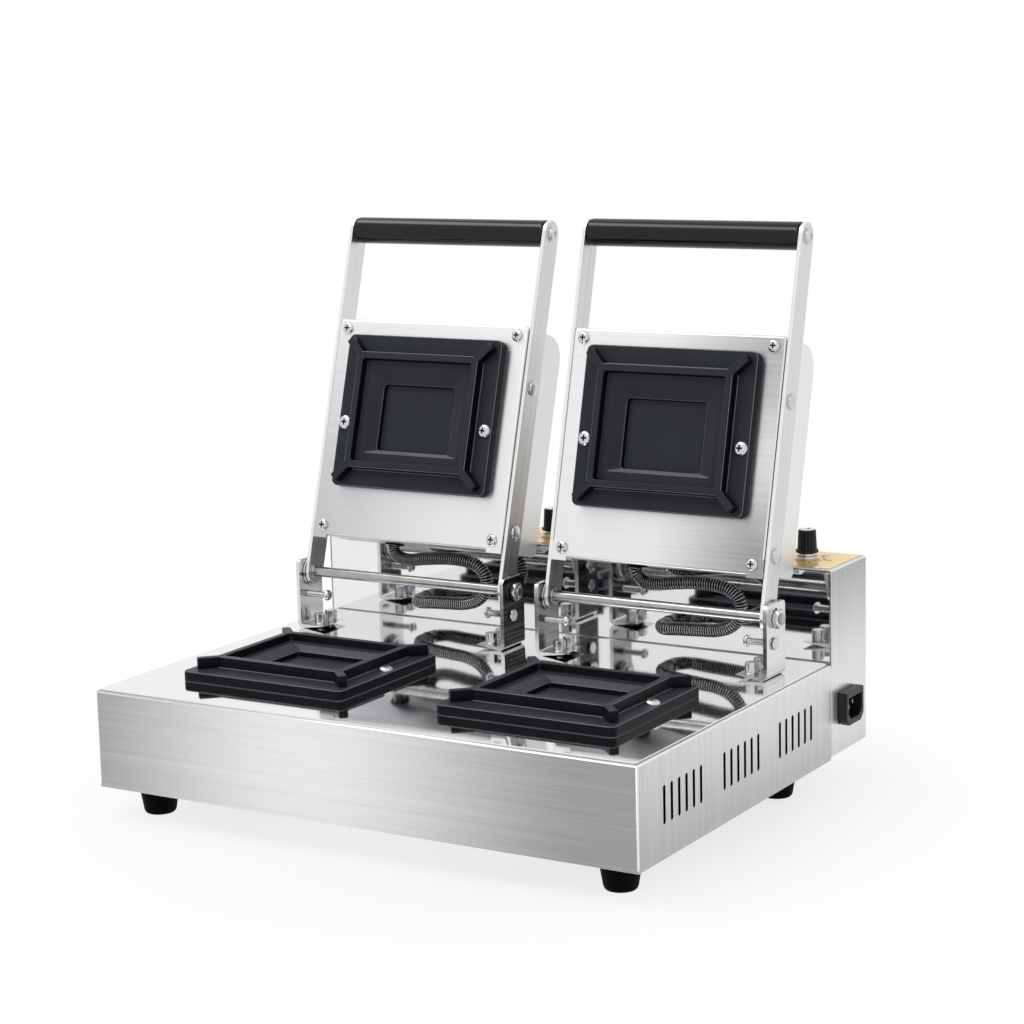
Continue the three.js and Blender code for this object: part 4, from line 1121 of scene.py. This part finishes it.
def frame_plate_form():
    """Folded plate with a window for the casting, a lip on every side and two tabs."""
    middle, height = (PLATE_LOW + PLATE_HIGH) / 2, PLATE_HIGH - PLATE_LOW
    # A row is its middle's height, its width, height and corner radius, and its depth
    rows = [
        (GRILL_RISE, WINDOW_WIDTH, WINDOW_HEIGHT, 5.0, 1.5),
        (GRILL_RISE, WINDOW_WIDTH, WINDOW_HEIGHT, 5.0, 0.4),
        (GRILL_RISE, WINDOW_WIDTH + 0.6, WINDOW_HEIGHT + 0.6, 5.2, 0),
    ]
    bend = 2.0
    rim = []
    for step in range(6):
        angle = pi / 2 * step / 5
        inset = bend - bend * sin(angle)
        rim.append((2 * inset, max(3.0 - inset, 1.2), bend - bend * cos(angle)))
    rim += [(0, 3.0, 8.8), (0.4, 2.8, 9), (3, 1.6, 9), (3, 1.6, 2.2), (4.4, 1.2, 1.5)]
    rows += [
        (middle, PLATE_WIDTH - less, height - less, radius, depth)
        for less, radius, depth in rim
    ]
    loops = []
    for centre, wide, tall, radius, depth in rows:
        outline = rounded_rectangle(wide, tall, radius)
        loops.append([(x, PLATE_FRONT + depth, z + centre) for x, z in outline])
    tab = along_y(rounded_bar(13.0, 14.0, 0, 1.5, 0.4))
    tab_offset, tab_rise = 79.5, PLATE_LOW - 2.2 + 7.0
    tabs = [at(tab, sign * tab_offset, PLATE_FRONT + 1.52, tab_rise) for sign in (-1, 1)]
    return joined(lofted(loops, ring=True), *tabs)


COVER_FRONT, COVER_REAR, COVER_HALF, COVER_SHEET = -9.7, 44.6, 84.2, 1.2
LOWER_BEND, UPPER_BEND = 6.0, 18.0


def cover_section(inset):
    """Side outline of the cover, from its lower front lip over the rear to the top."""
    rear, lower, upper = COVER_REAR - inset, PLATE_LOW + 0.3 + inset, PLATE_HIGH - 0.3 - inset
    small, large = LOWER_BEND - inset, UPPER_BEND - inset
    points = [(COVER_FRONT, lower), (10.0, lower)]
    for centre_y, centre_z, radius, start in (
        (rear - small, lower + small, small, -90), (rear - large, upper - large, large, 0),
    ):
        for step in range(9):
            angle = radians(start + 90 * step / 8)
            points.append((centre_y + radius * cos(angle), centre_z + radius * sin(angle)))
    points += [(10.0, upper), (COVER_FRONT, upper)]
    return points


def back_cover_form():
    """Pan with a large top bend, folded sides and an open front."""
    outside, inside = cover_section(0), cover_section(COVER_SHEET)
    half = COVER_HALF
    points, faces = [], []

    def skin(section, x):
        start = len(points)
        points.extend((x, y, z) for y, z in section)
        return list(range(start, start + len(section)))

    def shrunk(section, inset):
        middle_y, middle_z = 17.0, (PLATE_LOW + PLATE_HIGH) / 2
        return [
            (y - inset if y > middle_y else y, z + (inset if z < middle_z else -inset))
            for y, z in section
        ]

    edge = 1.1
    walls = [
        skin(shrunk(outside, inset), x) for inset, x in (
            (edge, -half), (edge * 0.3, edge * 0.3 - half), (0, edge - half),
            (0, half - edge), (edge * 0.3, half - edge * 0.3), (edge, half),
        )
    ]
    inner = [skin(inside, COVER_SHEET - half), skin(inside, half - COVER_SHEET)]
    count = len(outside)
    for a, b in zip(walls, walls[1:]):
        for j in range(count - 1):
            faces.append((a[j], a[j + 1], b[j + 1], b[j]))
    for j in range(count - 1):
        faces.append((inner[0][j + 1], inner[0][j], inner[1][j], inner[1][j + 1]))
    faces += [
        tuple(walls[0]), tuple(reversed(walls[-1])), tuple(reversed(inner[0])),
        tuple(inner[1]),
    ]
    # Front lips close the sheet's thickness
    for a, b in zip(walls, walls[1:]):
        if a is walls[2]:
            continue
        pair = inner[0] if a[0] < walls[2][0] else inner[1]
        faces += [(a[0], b[0], pair[0]), (b[-1], a[-1], pair[-1])]
    faces += [
        (walls[2][0], walls[3][0], inner[1][0], inner[0][0]),
        (walls[3][-1], walls[2][-1], inner[0][-1], inner[1][-1]),
        (walls[0][-1], walls[0][0], inner[0][0], inner[0][-1]),
        (walls[-1][0], walls[-1][-1], inner[1][-1], inner[1][0]),
    ]
    return points, faces


def bushing():
    """Black grommet round the conduit where it enters the cover."""
    return turned([
        (5.2, -1.2), (6.8, -1.2), (7.6, -0.9), (7.8, -0.3), (7.6, 0.0), (5.9, 0.1), (5.9, 1.4),
        (6.6, 1.6), (6.4, 2.2), (5.2, 2.2),
    ], 40)


# The upper casting's back, just in front of the window plate
CASTING_BACK = -11.8
GRIP_HALF = 86.0
ARM_SCREW_RISES = (43.6, 153.4)
CORNER_SCREWS, CORNER_SCREW_RISES = 77.2, (36.0, 191.2)


def add_head(side):
    add_pivot(side)
    lower_place = BOX @ shifted(HEADS[side][0], PIVOT_DEPTH - GRILL_RISE, DECK_TOP)
    add_grill(
        f"{side}_lower", f"{side}_lower_grill", "base", lower_place,
        well_shift=0, screw_shift=0, lip=6.1,
    )
    finish_node(f"{side}_lower_heating_element", sheath_steel)
    finish_node(f"{side}_upper_heating_element", sheath_steel)
    finish_node(f"{side}_hose_gland", plated)

    lid, body = lid_frame(side), f"{side}_lid"
    for end, sign in ENDS:
        piece(
            f"{body}_{end}_flat_arm", flat_arm(sign),
            arm_steel if side == end else inner_arm_steel, body, lid,
            [f"{body}_{end}_arm"],
        )
        heads = [
            at(along_x(dome_head(11.5, 3.0), sign), sign * ARM_OUTER, 0, rise)
            for rise in ARM_SCREW_RISES
        ]
        fitting(f"{body}_{end}_arm_screws", joined(*heads), body, lid)
    piece(
        f"{body}_window_plate", frame_plate_form(), LID_STEELS[side], body,
        lid, [f"{body}_frame_plate"],
    )
    for part, form, finish in (
        ("screws", pan_head, plated), ("screw_recess_shades", recess_shade_form, recess_shade_finish),
    ):
        corner_screws = [
            at(along_y(form(9.3, 2.4)), x, PLATE_FRONT, z)
            for x in (-CORNER_SCREWS, CORNER_SCREWS) for z in CORNER_SCREW_RISES
        ]
        piece(
            f"{body}_corner_{part}", joined(*corner_screws), finish, body, lid,
        )
    piece(
        f"{body}_rear_cover", back_cover_form(), COVER_STEELS[side], body,
        lid, [f"{body}_back_cover"],
    )
    grommet = at(bushing(), *HOSE_ENTRY, PLATE_LOW + 0.3)
    piece(f"{body}_grommet", grommet, foot_rubber, body, lid)

    tip = [(3.3, 0), (8.4, 0), (9.4, 0.3), (10.0, 1.0), (10.25, 2.2)]
    grip = turned(
        [(r, z - GRIP_HALF) for r, z in tip] + [(r, GRIP_HALF - z) for r, z in reversed(tip)],
        64,
    )
    piece(
        f"{body}_grip", at(along_x(grip), 0, 0, ARM_LENGTH), grip_plastic, body,
        lid, [f"{side}_handle_grip"],
    )
    rod = at(along_x(turned([(2.9, -89.5), (2.9, 89.5)], 24)), 0, 0, ARM_LENGTH)
    bolt_head = joined(
        turned([(6.2, 0), (6.3, 0.2), (6.3, 0.7), (6.1, 0.9)], 32),
        at(pan_head(10.4, 2.1), 0, 0, 0.8),
    )
    heads = [
        at(along_x(bolt_head, sign), sign * ARM_OUTER, 0, ARM_LENGTH) for sign in (-1, 1)
    ]
    fitting(f"{body}_handle_bolt", joined(rod, *heads), body, lid, [f"{side}_handle_rod"])

    upper_place = lid @ shifted(0, CASTING_BACK, GRILL_RISE) @ Matrix.Rotation(pi / 2, 4, "X")
    add_grill(
        f"{side}_upper", f"{side}_upper_grill", body, upper_place,
        well_shift=-4.2, screw_shift=-10.0, lip=0,
    )


for side in HEADS:
    add_head(side)


# Studio: a pale floor, a white world and soft lamps

def seen_directly(tree):
    """1 for rays from the camera, off gloss or through glass, and 0 for the others."""
    path = add(tree, "LightPath").outputs
    seen = add(tree, "Math", {
        0: path["Is Camera Ray"], 1: path["Is Glossy Ray"],
    }, operation="MAXIMUM")
    return add(tree, "Math", {0: seen, 1: path["Is Transmission Ray"]}, operation="MAXIMUM")


def add_stage():
    size, feet = 6.0, 0.025
    mesh = bpy.data.meshes.new("floor")
    mesh.from_pydata(
        [(-size, -size, 0), (size, -size, 0), (size, size, 0), (-size, size, 0)], [],
        [(0, 1, 2, 3)],
    )
    floor = linked("floor", mesh)
    floor.location.z = BOX.translation.z - feet
    material, tree, places = new_material("matt_white_paper", "#f4f4f4")
    place = places["Object"]
    fibre = add(tree, "TexNoise", {"Vector": place, "Scale": rate(2.5), "Detail": 2.0})
    paper = add(tree, "BsdfDiffuse", {"Color": two_tone(tree, fibre, "#f1f1f1", "#f5f5f5")})
    glow = add(tree, "Emission", {"Color": tone("#ffffff"), "Strength": 1.0})
    # The paper runs out into plain white light away from the machine
    away = add(tree, "VectorMath", {0: place, 1: (0, 0, 0)}, operation="DISTANCE")
    run_out = add(tree, "MapRange", {
        "Value": away.outputs["Value"], "From Min": 0.2, "From Max": 0.38,
        "To Min": 0.76, "To Max": 1.0,
    })
    share = add(tree, "Math", {0: seen_directly(tree), 1: run_out}, operation="MULTIPLY")
    mesh.materials.append(finished(material, "MixShader", {0: share, 1: paper, 2: glow}))


def add_world():
    """White to the eye and in reflections, and dimmer as light on matt faces."""
    world = bpy.data.worlds.new("white_studio")
    scene.world = world
    world.use_nodes = True
    tree = world.node_tree
    tree.nodes.clear()
    strength = add(tree, "MapRange", {
        "Value": seen_directly(tree), "To Min": 0.42, "To Max": 1.0,
    })
    glow = add(tree, "Background", {"Color": tone("#ffffff"), "Strength": strength})
    add(tree, "OutputWorld", {"Surface": glow})


def add_lamp(name, place, aim, width, height, power, shines=False):
    """Soft lamp. Only one that shines shows as a highlight on gloss and metal."""
    data = bpy.data.lights.new(name, "AREA")
    data.shape = "RECTANGLE"
    data.size, data.size_y = width, height
    data.energy = power
    lamp = linked(name, data)
    lamp.location = place
    lamp.rotation_mode = "QUATERNION"
    lamp.rotation_quaternion = (Vector(place) - Vector(aim)).to_track_quat("Z", "Y")
    lamp.visible_glossy = shines


add_stage()
add_world()
add_lamp("overhead_softbox", (-0.55, -0.35, 1.6), (-0.2, 0, 0.1), 2.0, 0.42, 12, True)
add_lamp("left_softbox", (-1.3, -0.9, 0.9), (0, 0, 0.15), 0.9, 1.1, 3)
add_lamp("right_softbox", (1.5, -0.6, 1.0), (0, 0, 0.15), 0.7, 1.1, 3)

scene.view_settings.view_transform = "Standard"
bpy.context.view_layer.update()
